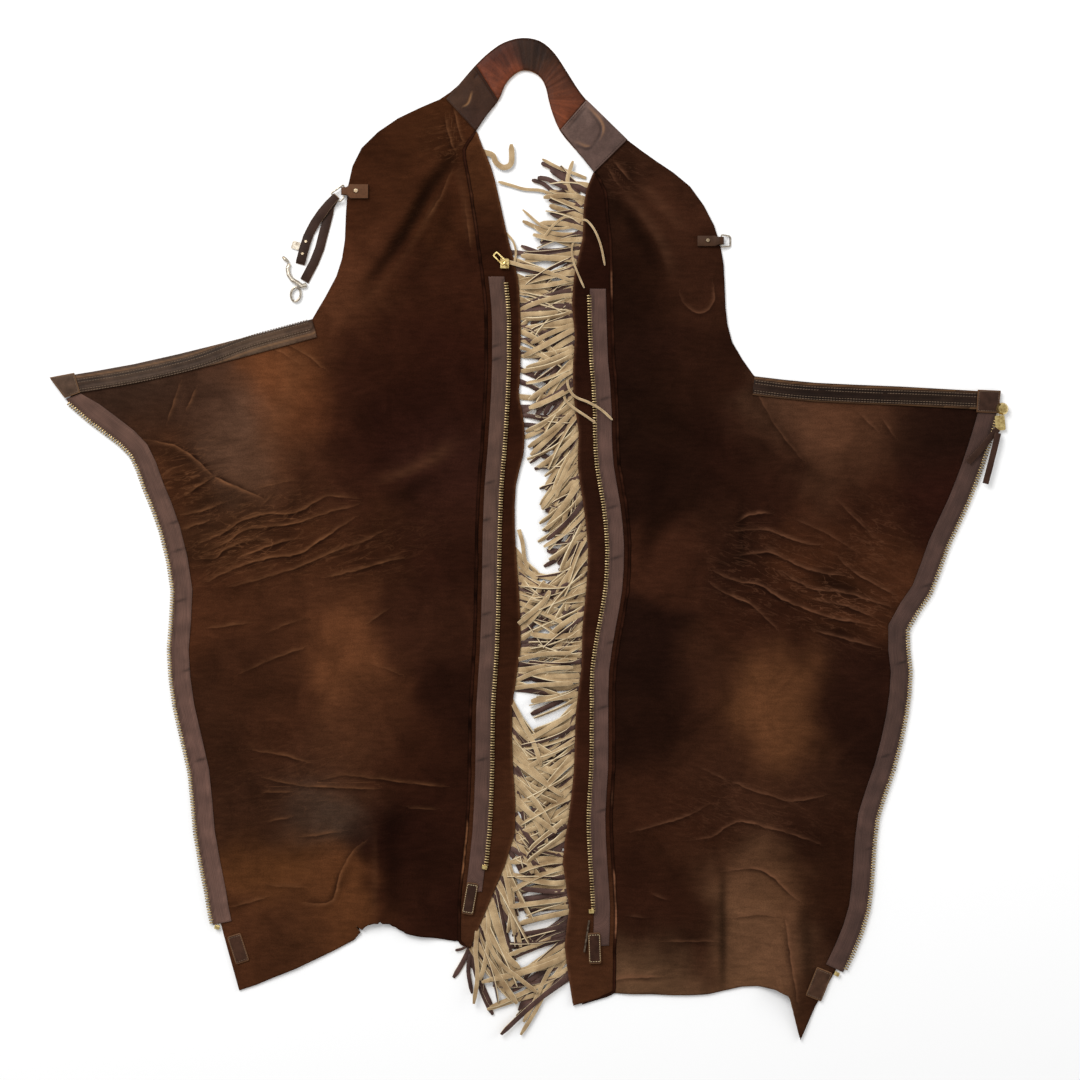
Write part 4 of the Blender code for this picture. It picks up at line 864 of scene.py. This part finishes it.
def lay_fringe(name, side, combs, strays, seed):
    """One row of strips under a placket's edge."""
    chance = random.Random(seed)
    way = 1 if side == "l" else -1
    own, other = placket_edges[side], placket_edges["r" if side == "l" else "l"]
    own_y, own_x = [p.y for p in reversed(own)], [p.x for p in reversed(own)]
    far_y, far_x = [p.y for p in reversed(other)], [p.x for p in reversed(other)]
    form = bmesh.new()
    # A second, sparser set of strips with the dyed grain face up lies under the tan ones. It is partly real
    # strips and partly a dark fill that stands in for the shade in the gaps between them.
    underlay_strips_and_shade = [(comb[0], comb[1], 6.2, comb[3] + 12, comb[4] + 12, 0.94 * comb[5], 18, 1.0, 1)
               for comb in combs if comb[8] > 2]
    for top, bottom, pitch, lean_top, lean_bottom, length, spread, dark, layers in underlay_strips_and_shade + combs:
        height = top
        count = 0
        while height > bottom:
            share = (top - height) / max(top - bottom, 1)
            lean = lean_top + (lean_bottom - lean_top) * share + chance.uniform(-spread, spread)
            turn = lean + chance.uniform(-34, 34)
            reach = length * chance.uniform(0.84, 1.1)
            edge = float(np.interp(height, own_y, own_x))
            root = Vector((edge - way * 5, height + chance.uniform(-1.5, 1.5)))
            line = comb_line(root, lean, turn, reach, way, 12)
            roll_start = math.pi if chance.random() < dark else 0.0
            tilt = chance.choice([0, 0, 0.25, -0.3, 0.9, -1.0])
            twist = chance.uniform(-0.5, 0.5)
            layer = 1 + count % layers if layers > 1 else 0.4
            levels, rolls = [], []
            kept = []
            for index, spot in enumerate(line):
                beyond = (spot.x - float(np.interp(spot.y, own_y, own_x))) * way
                before = (float(np.interp(spot.y, far_y, far_x)) - spot.x) * way
                if before < -4 and spot.y > -440:
                    break
                free = min(max(min(beyond - 1, before - 1) / 9, 0), 1)
                kept.append(spot)
                levels.append(FLOOR_LEVEL + free * layer * STRIP_PLY)
                rolls.append(roll_start + free * (tilt + twist * index / 12))
            if len(kept) > 4:
                lay_strip(form, kept, STRIP_WIDTH * chance.uniform(0.86, 1.1), levels, rolls)
            height -= pitch * chance.uniform(0.8, 1.2)
            count += 1
    for level, dark, width, points in strays:
        line = flowing([Vector(point) for point in points], 4)
        levels = [FLOOR_LEVEL + (level - FLOOR_LEVEL) * min(index / 3, 1) for index in range(len(line))]
        lay_strip(form, line, width, levels, [math.pi if dark else 0.0] * len(line))
    bmesh.ops.remove_doubles(form, verts=form.verts, dist=0.01 * MM)
    fringe = make_piece(name, form)
    wall = fringe.modifiers.new("wall", "SOLIDIFY")
    wall.thickness = STRIP_THICK * MM
    wall.offset = 0
    wall.material_offset = 1
    wall.material_offset_rim = 2
    soften = fringe.modifiers.new("soft_edges", "BEVEL")
    soften.width = 0.25 * MM
    soften.segments = 1
    soften.limit_method = "ANGLE"
    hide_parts("fringe_" + side)
    return fringe


def strip_finish(name, colour, shadow, roughness):
    """Fringe leather: soft blotches of a darker colour, partly soiling and partly painted shade, and a fine
    nap.
    """
    tree, shader, material = new_finish(name, roughness, 0.2, sheen=0.05)
    place = node(tree, "TexCoord").outputs["Object"]
    soil = noisy(tree, place, 70, 5)
    nap = noisy(tree, place, 1100, 2)
    # The shadow colour is painted shade, spread in blotches by the soiling noise.
    mixed = blended(tree, ranged(tree, soil, 0, 1), (*linear(shadow), 1), (*linear(colour), 1))
    tree.links.new(scaled(tree, mixed, ranged(tree, nap, 0.86, 1.14)), shader.inputs["Base Color"])
    emboss(tree, shader, nap, 0.3, 0.3)
    return material


# The cut of each row: its strips side by side, most of them a little shorter than the longest usual one.
tan_flesh = strip_finish("tan_flesh", (184, 158, 120), (140, 114, 82), 0.85)
dyed_grain = strip_finish("dyed_grain", (88, 62, 54), (54, 34, 28), 0.55)
cream_cut = strip_finish("cream_cut", (224, 206, 172), (190, 168, 132), 0.8)
for side, combs, strays, seed in [
    ("l", LEFT_COMBS, STRAY_STRIPS_L, 11),
    ("r", RIGHT_COMBS, STRAY_STRIPS_R, 23),
]:
    fringe = lay_fringe("fringe_strips_" + side, side, combs, strays, seed)
    fringe.data.materials.append(tan_flesh)
    fringe.data.materials.append(dyed_grain)
    fringe.data.materials.append(cream_cut)
    flat_area = sum(polygon.area for polygon in fringe.data.polygons)


# ---------------------------------------------------------------- belt
# The back of the waist is an arch of two plies: a dark outer ply whose edge shows as a fine lip,
# and a smooth rust lining that has creased and darkened round the bend.
BELT_CELL = 1.7
RUST_PATCHES = [
    (-52, 478, (90, 42, 24)), (-34, 496, (98, 48, 28)), (-42, 512, (74, 34, 20)), (-24, 522, (54, 26, 15)),
    (-8, 530, (42, 24, 14)), (8, 526, (36, 20, 11)), (20, 514, (46, 26, 14)), (30, 500, (66, 34, 19)),
    (28, 480, (82, 42, 23)), (44, 488, (54, 28, 16)), (40, 466, (88, 43, 23)), (54, 470, (74, 37, 21)),
    (36, 446, (96, 48, 27)), (-44, 470, (88, 44, 25)),
]


def leather_finish(name, roughness, grain=420, streak=0.0, centre=(0, 0), specular=0.07):
    """Smooth leather: pebbled grain, uneven worn tone, lighter where it is rubbed and where highlights are
    painted and, on a bend, creases that fan from its middle.
    """
    tree, shader, material = new_finish(name, roughness, specular)
    place = node(tree, "TexCoord").outputs["Object"]
    dye_and_shade = stored(tree, "dye", "Color")
    rubbed = stored(tree, "rub_and_highlight")
    pebble = node(tree, "TexVoronoi", {"Vector": place, "Scale": grain, "Randomness": 0.9}).outputs[0]
    wear = noisy(tree, place, 90, 6, 0.65)
    fine = noisy(tree, place, 700, 3)
    tone = times(tree, ranged(tree, wear, 0.78, 1.24), ranged(tree, fine, 0.88, 1.12))
    height = times(tree, pebble, 0.35)
    if streak:
        centred = node(tree, "Mapping", {"Vector": place, "Location": (-centre[0] * MM, -centre[1] * MM, 0)})
        turn = node(tree, "TexGradient", {"Vector": centred.outputs[0]}, gradient_type="RADIAL").outputs[1]
        fan = node(tree, "CombineXYZ", {0: times(tree, turn, 75), 1: times(tree, wear, 1.2)}).outputs[0]
        creases = noisy(tree, fan, 1, 3)
        tone = times(tree, tone, ranged(tree, creases, 1 - streak, 1 + streak))
        height = plus(tree, height, creases)
    colour = scaled(tree, dye_and_shade, tone)
    # The rub value lightens the leather: it holds rubbed wear and painted highlights.
    lit = blended(tree, rubbed, colour, (*linear((176, 128, 84)), 1))
    tree.links.new(lit, shader.inputs["Base Color"])
    height = plus(tree, height, times(tree, fine, 0.4))
    emboss(tree, shader, height, 0.5, 0.35)
    return material


rust_leather = leather_finish("rust_leather", 0.42, streak=0.32, centre=(0, 470), specular=0.1)
dark_leather = leather_finish("dark_leather", 0.45, grain=520)
# The belt's pale gold cut edges are partly the raw core and partly a painted highlight along the edge.
belt_edge_highlight = raw_edge_finish("belt_edge_highlight", (150, 104, 62))
dark_edge = raw_edge_finish("dark_edge", (62, 40, 28))

outer = cut_cloth("belt_outer", BELT_CELL)
places = places_of(outer)
belt_outer = make_piece("belt_outer_ply", outer)
outer_patches = [(-60, 470, (50, 28, 18)), (0, 530, (46, 25, 15)), (60, 460, (48, 27, 18))]
stain(belt_outer, dye(places, outer_patches, 40))
dress(belt_outer, "belt_outer", "dark_leather", dark_leather, belt_edge_highlight)
thicken(belt_outer, 1.6, rim=1)

lining = cut_cloth("belt_lining", BELT_CELL)
places = places_of(lining)
outline = np.array([edge.verts[0].co[:2] for edge in lining.edges if edge.is_boundary]) / MM
rim_gap = np.array([np.hypot(*(outline - spot[:2]).T).min() for spot in places])
angle = np.arctan2(places[:, 1] - 470, places[:, 0])
ripple = np.array([noise.noise(Vector((turn * 14, 0.4, 2.0))) for turn in angle])
crown = 0.5 * np.clip(rim_gap / 6, 0, 1)
raise_cloth(lining, crown + 0.35 * ripple * crown)
belt_lining = make_piece("belt_lining_ply", lining)
stain(belt_lining, dye(places, RUST_PATCHES, 9) * (0.82 + 0.18 * np.clip(rim_gap / 3, 0, 1))[:, None])
dress(belt_lining, "belt_lining", "rust_leather", rust_leather, belt_edge_highlight)
thicken(belt_lining, 1.6, rim=1)


# ---------------------------------------------------------------- belt patches
# A four-sided patch of thicker smooth leather is sewn over each joint of belt and yoke:
# a dark one on the left, and a mauve-brown one on the right with a tongue pressed through from beneath.
# Each patch: dyes, its two lines of stitches, flat size, flat area, slot.
PATCHES = {
    "l": (
        [(-56, 500, (58, 36, 24)), (-40, 470, (48, 29, 19)), (-60, 440, (50, 30, 21)),
         (-86, 468, (58, 38, 26))],
        [[(-59.5, 500.5), (-38, 468.5)], [(-58.5, 439.5), (-87.5, 470)]],
        (0.045, 0.048), 0.0021, "dark_leather",
    ),
    "r": (
        [(36, 438, (92, 72, 64)), (60, 464, (96, 76, 68)), (98, 428, (76, 59, 53)), (68, 396, (82, 63, 56)),
         (66, 432, (78, 60, 54))],
        [[(35, 438), (60.5, 466.5)], [(70, 396), (100.5, 427)]],
        (0.05, 0.06), 0.0028, "mauve_leather",
    ),
}
TONGUE = [(60, 460), (72, 447), (76, 436), (70, 424), (61, 417), (47, 422)]
# What shows in relief on each patch, as folds: (half width, height, shade, line).
PRESSED = {
    "l": [(0.9, -0.3, 0.5, [(-72, 462), (-66, 466), (-62, 478)]),
          (1.2, -0.4, -0.6, [(-56, 498), (-60, 492)])],
    "r": [(1.6, -0.7, -0.8, TONGUE), (1.6, 0.4, 0.5, [(x + 2, y + 2) for x, y in TONGUE]),
          (1.4, -0.4, -0.5, [(38, 436), (62, 464)])],
}


def sew(form, line, pitch, size, level, offset=0.0, slant=0.0):
    """A row of thread stitches, or of any small block, along a line."""
    lengths = [0.0]
    for start, end in zip(line, line[1:]):
        lengths.append(lengths[-1] + (end - start).to_2d().length)
    count = int(lengths[-1] / pitch)
    for index in range(count):
        reach = (index + 0.5) * lengths[-1] / count
        place = int(np.searchsorted(lengths, reach)) - 1
        share = (reach - lengths[place]) / max(lengths[place + 1] - lengths[place], 1e-6)
        start, end = line[place], line[place + 1]
        spot = start + (end - start) * share
        run = (end - start).to_2d().normalized()
        spot_flat = spot.to_2d() + Vector((-run.y, run.x)) * offset
        height = level + (spot.z if len(spot) == 3 else 0.0)
        turn = Matrix.Rotation(math.atan2(run.y, run.x) + slant, 4, "Z")
        lie = Matrix.Translation((spot_flat.x * MM, spot_flat.y * MM, height * MM))
        stretch = Matrix.Diagonal((*(edge * MM for edge in size), 1))
        bmesh.ops.create_cube(form, size=1.0, matrix=lie @ turn @ stretch)


def round_blocks(form, width):
    """Take the sharp edges off every block of a form."""
    bmesh.ops.bevel(form, geom=form.edges, offset=width * MM, affect="EDGES", segments=1, profile=0.5,
                    material=-1)


def thread_finish(name, colour, dark=0.6):
    """Twisted waxed thread, dirtier in places."""
    tree, shader, material = new_finish(name, 0.6, 0.25)
    place = node(tree, "TexCoord").outputs["Object"]
    dirt = noisy(tree, place, 160, 3)
    twist = node(tree, "TexWave", {"Vector": place, "Scale": 900, "Distortion": 1.0}).outputs[1]
    tone = times(tree, ranged(tree, dirt, dark, 1.2), ranged(tree, twist, 0.85, 1.1, (0, 1)))
    tree.links.new(scaled(tree, tuple(linear(colour)), tone), shader.inputs["Base Color"])
    return material


mauve_leather = leather_finish("mauve_leather", 0.5, grain=480)
dark_thread = thread_finish("dark_thread", (46, 30, 24))
brown_thread = thread_finish("brown_thread", (104, 84, 66))
light_thread = thread_finish("light_thread", (196, 176, 138))
for side, (patches, seams, flat_size, flat_area, slot) in PATCHES.items():
    cloth = cut_cloth("belt_patch_" + side, 1.3)
    places = places_of(cloth)
    rise = 0.3 * waves(places, 14, 7.0)
    pressed, shade = fold(places, PRESSED[side])
    rise = rise + pressed
    raise_cloth(cloth, rise + 0.3)
    patch = make_piece("belt_patch_leather_" + side, cloth)
    # Painted shade and painted highlights along the pressed lines: minus shade darkens the colour, plus shade
    # goes into the rub value.
    colours = dye(places, patches, 14) * np.exp(np.clip(shade, -1.2, 0))[:, None]
    stain(patch, colours, np.clip(shade, 0, 0.35))
    dress(patch, "belt_patch_" + side, slot, dark_leather if side == "l" else mauve_leather, dark_edge)
    thicken(patch, 1.6, rim=1)
    thread = bmesh.new()
    for seam in seams:
        sew(thread, [Vector(point) for point in seam], 2.4, (1.7, 0.6, 0.5), 3.75)
    round_blocks(thread, 0.12)
    stitches = make_piece("belt_patch_stitches_" + side, thread)
    stitches.data.materials.append(dark_thread)


# ---------------------------------------------------------------- thigh bands
# The straight top edge of each leg is bound with a flat leather band, held by four long rows of stitching
# that quilt it slightly. A small folded tab covers its outer end.
# Each band: middle line, dyes, flat size, flat area.
BANDS = {
    "l": (
        [(-486, 163.5), (-450, 169), (-422, 174), (-385, 182), (-350, 191.5), (-304, 209), (-262, 221),
         (-236, 228)],
        [(-480, 165, (62, 46, 36)), (-422, 174, (70, 54, 43)), (-350, 190, (64, 49, 39)),
         (-300, 208, (80, 62, 48)), (-262, 221, (84, 65, 50)), (-238, 228, (66, 45, 33))],
        (0.024, 0.29), 0.0062,
    ),
    "r": (
        [(240, 163), (275, 158.5), (304, 156), (364, 153), (423, 151), (480, 148.5)],
        [(240, 163, (46, 31, 23)), (300, 156, (30, 18, 12)), (364, 152, (33, 20, 13)),
         (430, 151, (38, 25, 17)), (490, 148, (38, 25, 18))],
        (0.022, 0.26), 0.0052,
    ),
}
# Where the rows of stitching lie, across from the band's middle line.
THREAD_ROWS = (-6.6, -4.2, 3.4, 6.4)
BAND_TOP = 3.3
for side, (spine, patches, flat_size, flat_area) in BANDS.items():
    spine = flowing([Vector(point) for point in spine])
    cloth = cut_cloth("thigh_band_" + side, 1.6)
    places = places_of(cloth)
    across, along, _ = near_line(places[:, :2], spine)
    across = np.abs(across)
    puff = 0.45 * np.abs(np.sin(across / 6.6 * np.pi)) * np.clip((11 - across) / 3, 0, 1)
    # Painted shade down the band's middle and in a line along each side of it. The wave that lifts the band
    # also lightens it where it rises and darkens it where it sinks: painted light. A pale line runs near each
    # edge.
    shade = -0.8 * np.exp(-(((across - 4.6) / 1.2) ** 2)) - 0.4 * np.exp(-((across / 1.0) ** 2))
    wander = waves(places, 11, 1.0)
    raise_cloth(cloth, puff + 0.25 * wander + 0.1)
    band = make_piece("thigh_band_leather_" + side, cloth)
    stain(band, dye(places, patches, 26) * np.exp(shade + 0.25 * wander)[:, None],
          0.22 * np.exp(-(((across - 9.2) / 0.9) ** 2)))
    dress(band, "thigh_band_" + side, "mauve_leather", mauve_leather, dark_edge)
    thicken(band, 1.4, rim=1)
    thread = bmesh.new()
    for row in THREAD_ROWS:
        sew(thread, spine, 3.0, (2.2, 0.7, 0.6), BAND_TOP + 0.35, row, 0.08)
    round_blocks(thread, 0.15)
    stitches = make_piece("thigh_band_stitches_" + side, thread)
    stitches.data.materials.append(brown_thread)


# Each band's outer end is closed by a small leather tab, stitched round its edge.
# Each tab: corners, dye, flat width, flat area.
END_TABS = {
    "band_end_l": ([(-513.5, 172.5), (-487, 177.5), (-480.5, 156.5), (-497, 150.5)], (72, 54, 42),
                   0.029, 0.000525),
    "band_end_r": ([(503, 158.5), (500.5, 134.5), (477, 135.5), (478.5, 159.5)], (54, 36, 28),
                   0.0245, 0.000578),
}


def tab_corners(centre, size, turn):
    """The corners of a straight tab that is turned about its middle."""
    heading = Matrix.Rotation(math.radians(turn), 2)
    return [
        tuple(heading @ Vector((x * size[0] / 2, y * size[1] / 2)) + Vector(centre))
        for x, y in [(-1, -1), (1, -1), (1, 1), (-1, 1)]
    ]


def stitched_tab(node_name, colour, thread, corners, inset=1.8):
    """A small leather tab on its CAD place: crowned, with a thread line round its edge."""
    cloth = cut_cloth(node_name, 1.1)
    places = places_of(cloth)
    rim = np.array([vert.co[:2] for vert in cloth.verts if vert.is_boundary]) / MM
    inside = np.array([np.hypot(*(rim - spot[:2]).T).min() for spot in places])
    crown = 0.35 * np.clip(inside / 2.4, 0, 1) - 0.3 * np.exp(-(((inside - inset) / 0.6) ** 2))
    wave = waves(places, 7, 3.0)
    raise_cloth(cloth, crown + 0.2 * wave)
    tab = make_piece(node_name + "_leather", cloth)
    # Painted light: the wave that lifts the tab also makes it lighter where it rises and darker where it
    # sinks.
    colours = np.tile(linear(colour), (len(places), 1)) * (1 + 0.4 * wave)[:, None]
    stain(tab, colours, 0.3 * np.exp(-((inside / 0.7) ** 2)))
    dress(tab, node_name, "mauve_leather", mauve_leather, dark_edge)
    thicken(tab, 1.4, rim=1)
    middle = sum((Vector(corner) for corner in corners), Vector((0, 0))) / 4
    loop = [Vector(corner) + (middle - Vector(corner)).normalized() * inset * 1.4 for corner in corners]
    loop.append(loop[0])
    thread_form = bmesh.new()
    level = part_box(node_name)[1][2] / MM
    for start, end in zip(loop, loop[1:]):
        sew(thread_form, [start, end], 2.3, (1.7, 0.5, 0.5), level + 0.15)
    round_blocks(thread_form, 0.1)
    stitches = make_piece(node_name + "_stitches", thread_form)
    stitches.data.materials.append(thread)
    return tab, stitches


for node_name, (corners, colour, flat_side, flat_area) in END_TABS.items():
    tab, stitches = stitched_tab(node_name, colour, brown_thread, corners)


# ---------------------------------------------------------------- zips
# Four halves of two heavy brass zips: woven tapes sewn along the outer edges and on both plackets,
# with a corded edge that carries the teeth, a brass stop, and a leather tab over each lower end.
# Each tape: side of its teeth, bare length above them, flat size, flat area, and dyes along it.
TAPES = {
    "zip_tape_outer_l": (-1, 7, (0.021, 0.64), 0.0119, [
        (-480, 120, (84, 60, 50)), (-380, 60, (83, 59, 49)), (-372, -80, (88, 63, 53)),
        (-350, -250, (90, 64, 55)), (-320, -400, (96, 70, 60))]),
    "zip_tape_outer_r": (1, 6, (0.021, 0.6), 0.0115, [
        (480, 90, (64, 44, 37)), (420, -60, (70, 49, 42)), (390, -150, (66, 46, 38)),
        (370, -300, (70, 49, 42)), (330, -440, (74, 52, 44))]),
    "zip_tape_inner_l": (1, 4, (0.018, 0.65), 0.0107, [
        (-34, 280, (74, 52, 43)), (-40, 100, (78, 55, 45)), (-46, -50, (80, 57, 47)),
        (-50, -200, (78, 55, 46)), (-56, -350, (82, 58, 50))]),
    "zip_tape_inner_r": (-1, 4, (0.018, 0.68), 0.0112, [
        (68, 270, (78, 55, 47)), (80, 100, (82, 58, 50)), (86, 0, (84, 60, 51)),
        (76, -200, (82, 58, 50)), (66, -390, (80, 56, 48))]),
}
TOOTH_PITCH = 2.9
TOOTH = (1.45, 4.8, 2.0)
# Short puckers along the sewn edge of each tape, and where it buckles over a wrinkle: each a small rise with
# a line of painted shade beside it.
NIPS = {
    "zip_tape_outer_l": [(-386, 80), (-380, 18), (-376, -12), (-374, -66), (-366, -140), (-352, -236)],
    "zip_tape_outer_r": [(424, -50), (412, -86), (404, -104), (398, -132), (380, -232), (366, -330)],
    "zip_tape_inner_l": [(-38, 206), (-37, 192), (-44, 60), (-48, 20), (-50, -30), (-47, -80), (-46, -104),
                         (-52, -236)],
    "zip_tape_inner_r": [(80, 150), (88, 34), (92, -20), (88, -110), (78, -180), (78, -290)],
}


def twill_finish(name):
    """Zip tape: fine lengthwise ribs crossed by a slanting twill, soiled and rubbed."""
    tree, shader, material = new_finish(name, 0.82, 0.2, sheen=0.08)
    place = node(tree, "TexCoord").outputs["Object"]
    dye_and_shade = stored(tree, "dye", "Color")
    lie = stored(tree, "weave", "Vector")
    ribs = node(tree, "TexWave", {"Vector": lie, "Scale": 0.19, "Distortion": 0.6},
                bands_direction="X").outputs[1]
    twill = node(tree, "TexWave", {"Vector": lie, "Scale": 0.42, "Distortion": 0.8},
                 bands_direction="DIAGONAL").outputs[1]
    soil = noisy(tree, place, 55, 6)
    drawn = node(tree, "Mapping", {"Vector": lie, "Scale": (0.9, 0.05, 1)}).outputs[0]
    streak = noisy(tree, drawn, 1.0, 3)
    tone = times(tree, ranged(tree, ribs, 0.9, 1.06, (0, 1)), ranged(tree, twill, 0.9, 1.08, (0, 1)))
    tone = times(tree, tone, times(tree, ranged(tree, soil, 0.84, 1.14), ranged(tree, streak, 0.86, 1.12)))
    tree.links.new(scaled(tree, dye_and_shade, tone), shader.inputs["Base Color"])
    emboss(tree, shader, plus(tree, ribs, twill), 0.4, 0.25)
    return material


def metal_finish(name, bright, tarnish, roughness):
    """Old cast metal: bright and tarnished in uneven patches, finely scratched."""
    tree, shader, material = new_finish(name, roughness, 0.5, metallic=1.0)
    place = node(tree, "TexCoord").outputs["Object"]
    age = noisy(tree, place, 260, 5, 0.7)
    scratch_lie = node(tree, "Mapping", {"Vector": place, "Rotation": (0, 0, 0.7), "Scale": (300, 3000, 300)})
    scratch = noisy(tree, scratch_lie.outputs[0], 1, 2)
    worn = blended(tree, ranged(tree, age, 0, 1, (0.4, 0.66)), (*linear(bright), 1), (*linear(tarnish), 1))
    tree.links.new(scaled(tree, worn, ranged(tree, scratch, 0.86, 1.1)), shader.inputs["Base Color"])
    emboss(tree, shader, age, 0.2, 0.2)
    return material


tape_twill = twill_finish("tape_twill")
zip_brass = metal_finish("zip_brass", (196, 172, 126), (96, 74, 48), 0.4)
bright_brass = metal_finish("bright_brass", (232, 208, 142), (156, 126, 72), 0.28)
for node_name, (side, bare, flat_size, flat_area, patches) in TAPES.items():
    line = edge_line(node_name, side, 3.0)
    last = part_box(node_name.replace("tape", "stop"))[0][1] / MM
    line = [place for place in line if last < place.y < line[0].y - bare]
    cloth = cut_cloth(node_name, 1.9)
    places = places_of(cloth)
    across, along, _ = near_line(places[:, :2], line)
    across = np.abs(across)
    buckle = np.array([noise.noise(Vector((a / 16, c / 14, 4.0))) for a, c in zip(along, across)])
    # Painted light and shade: lighter on the buckles and darker between them, and a line of shade beside the
    # corded edge. A lighter line runs along the far edge.
    shade = 0.25 * buckle - 0.5 * np.exp(-(((across - 3.0) / 0.9) ** 2))
    shade += 0.22 * np.exp(-(((across - 16.4) / 0.8) ** 2))
    rise = 0.5 * np.clip(buckle, 0, 1) + 0.5 * np.exp(-(((across - 1.2) / 1.4) ** 2))
    for x, y in NIPS[node_name]:
        right = places[:, 0] - x
        above = places[:, 1] - y
        shade -= 0.9 * np.exp(-((right / 5.5) ** 2) - (((above - 0.3 * right) / 1.3) ** 2))
        rise += 0.6 * np.exp(-((right / 6) ** 2) - (((above - 3) / 2.4) ** 2))
    raise_cloth(cloth, rise)
    tape = make_piece(node_name + "_cloth", cloth)
    stain(tape, dye(places, patches, 70) * np.exp(np.clip(shade, -1.2, 0.4))[:, None])
    weave = tape.data.attributes.new("weave", "FLOAT_VECTOR", "POINT")
    weave.data.foreach_set("vector", np.column_stack([across, along, np.zeros(len(along))]).ravel())
    dress(tape, node_name, "zip_tape", tape_twill)
    thicken(tape, 0.8)
    form = bmesh.new()
    upright = 0.3 if "inner" in node_name else 0.1
    sew(form, line, TOOTH_PITCH, TOOTH, upright, side * 1.0)
    round_blocks(form, 0.35)
    teeth = make_piece(node_name.replace("tape", "teeth"), form)
    teeth.data.materials.append(zip_brass)

# Leather tabs over the lower ends of the zips: middle, size, turn in degrees, dye, thread.
ZIP_TABS = {
    "zip_end_inner_l": ((-64, -384), (34, 12), 80, (50, 32, 24), light_thread),
    "zip_end_inner_r": ((69, -437), (33, 13), 92, (52, 32, 23), light_thread),
    "zip_end_outer_l": ((-312, -438), (31, 15), -72, (62, 40, 29), brown_thread),
    "zip_end_outer_r": ((309, -476), (33, 18), 68, (66, 45, 33), brown_thread),
}
for node_name, (centre, size, turn, colour, thread) in ZIP_TABS.items():
    tab, stitches = stitched_tab(node_name, colour, thread, tab_corners(centre, size, turn))


# The right slider's brass pull is lengthened by a dark leather thong with two pointed tails.
def small_part(node_name, name, width, colour, slot, materials, spread=0.3, scale=9.0, rub_and_highlight=0.0):
    """A CAD leather part as its own piece, its cut edges rounded over and its single dye uneven."""
    form = bmesh.new()
    form.from_mesh(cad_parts[node_name].data)
    bmesh.ops.remove_doubles(form, verts=form.verts, dist=0.001 * MM)
    sharp = [edge for edge in form.edges if len(edge.link_faces) == 2 and edge.calc_face_angle() > 0.9]
    bmesh.ops.bevel(form, geom=sharp, offset=width * MM, affect="EDGES", segments=2, profile=0.5, material=-1)
    for face in form.faces:
        face.material_index = 1 if abs(face.normal.z) < 0.55 else 0
    piece = make_piece(name, form)
    places = np.array([vert.co[:] for vert in piece.data.vertices]) / MM
    wave = np.array([noise.noise(Vector(spot) / scale) for spot in places])
    stain(piece, linear(colour) * (1 + spread * wave)[:, None], np.clip(rub_and_highlight * (1 + wave), 0, 1))
    dress(piece, node_name, slot, *materials)


def cast(node_name, finish):
    """A hard part keeps its CAD shape and takes a metal finish."""
    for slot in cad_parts[node_name].material_slots:
        slot.material = finish


thong_edge = raw_edge_finish("thong_edge", (84, 60, 46))
for node_name in ("pull_thong_1", "pull_thong_2"):
    small_part(node_name, node_name + "_leather", 0.35, (54, 36, 28), "dark_leather",
               (dark_leather, thong_edge))

# The other cast parts of the zips: stops, sliders and pulls in brass, the loose pin in dull steel.
for node_name in ("zip_stop_inner_l", "zip_stop_inner_r", "zip_stop_outer_l", "zip_stop_outer_r",
                  "slider_l", "slider_r", "pull_tab_l", "pull_tab_r"):
    cast(node_name, bright_brass)
cast("zip_pin_r", metal_finish("dull_steel", (120, 104, 88), (58, 44, 36), 0.45))


# ---------------------------------------------------------------- ring tabs
# A short leather tab is folded round each flat metal ring at the hip and set with one rivet.
# The left ring holds the closure strap; the right one hangs loose.
pale_metal = metal_finish("pale_metal", (206, 196, 180), (128, 112, 94), 0.3)
warm_rivet = metal_finish("warm_rivet", (220, 200, 170), (150, 128, 100), 0.3)
for side, colour in (("l", (78, 50, 34)), ("r", (46, 29, 21))):
    small_part("ring_tab_" + side, "ring_tab_leather_" + side, 0.3, colour, "mauve_leather",
               (mauve_leather, dark_edge), rub_and_highlight=0.04)
    cast("ring_" + side, pale_metal)
    cast("ring_rivet_" + side, warm_rivet)


# ---------------------------------------------------------------- closure strap
# A dark leather strap runs through the left ring, doubles back under a riveted keeper,
# and carries a trigger snap of pale cast metal on its end.
strap_edge = raw_edge_finish("strap_edge", (150, 122, 96))
small_part("closure_strap", "closure_strap_leather", 0.3, (50, 34, 27), "dark_leather",
           (dark_leather, strap_edge), spread=0.4, scale=14)
small_part("strap_keeper", "strap_keeper_leather", 0.3, (44, 30, 24), "dark_leather",
           (dark_leather, thong_edge))
for node_name in ("strap_rivet_1", "strap_rivet_2"):
    cast(node_name, warm_rivet)
for node_name in ("strap_slide", "snap_body", "snap_lever", "snap_jaw"):
    cast(node_name, pale_metal)
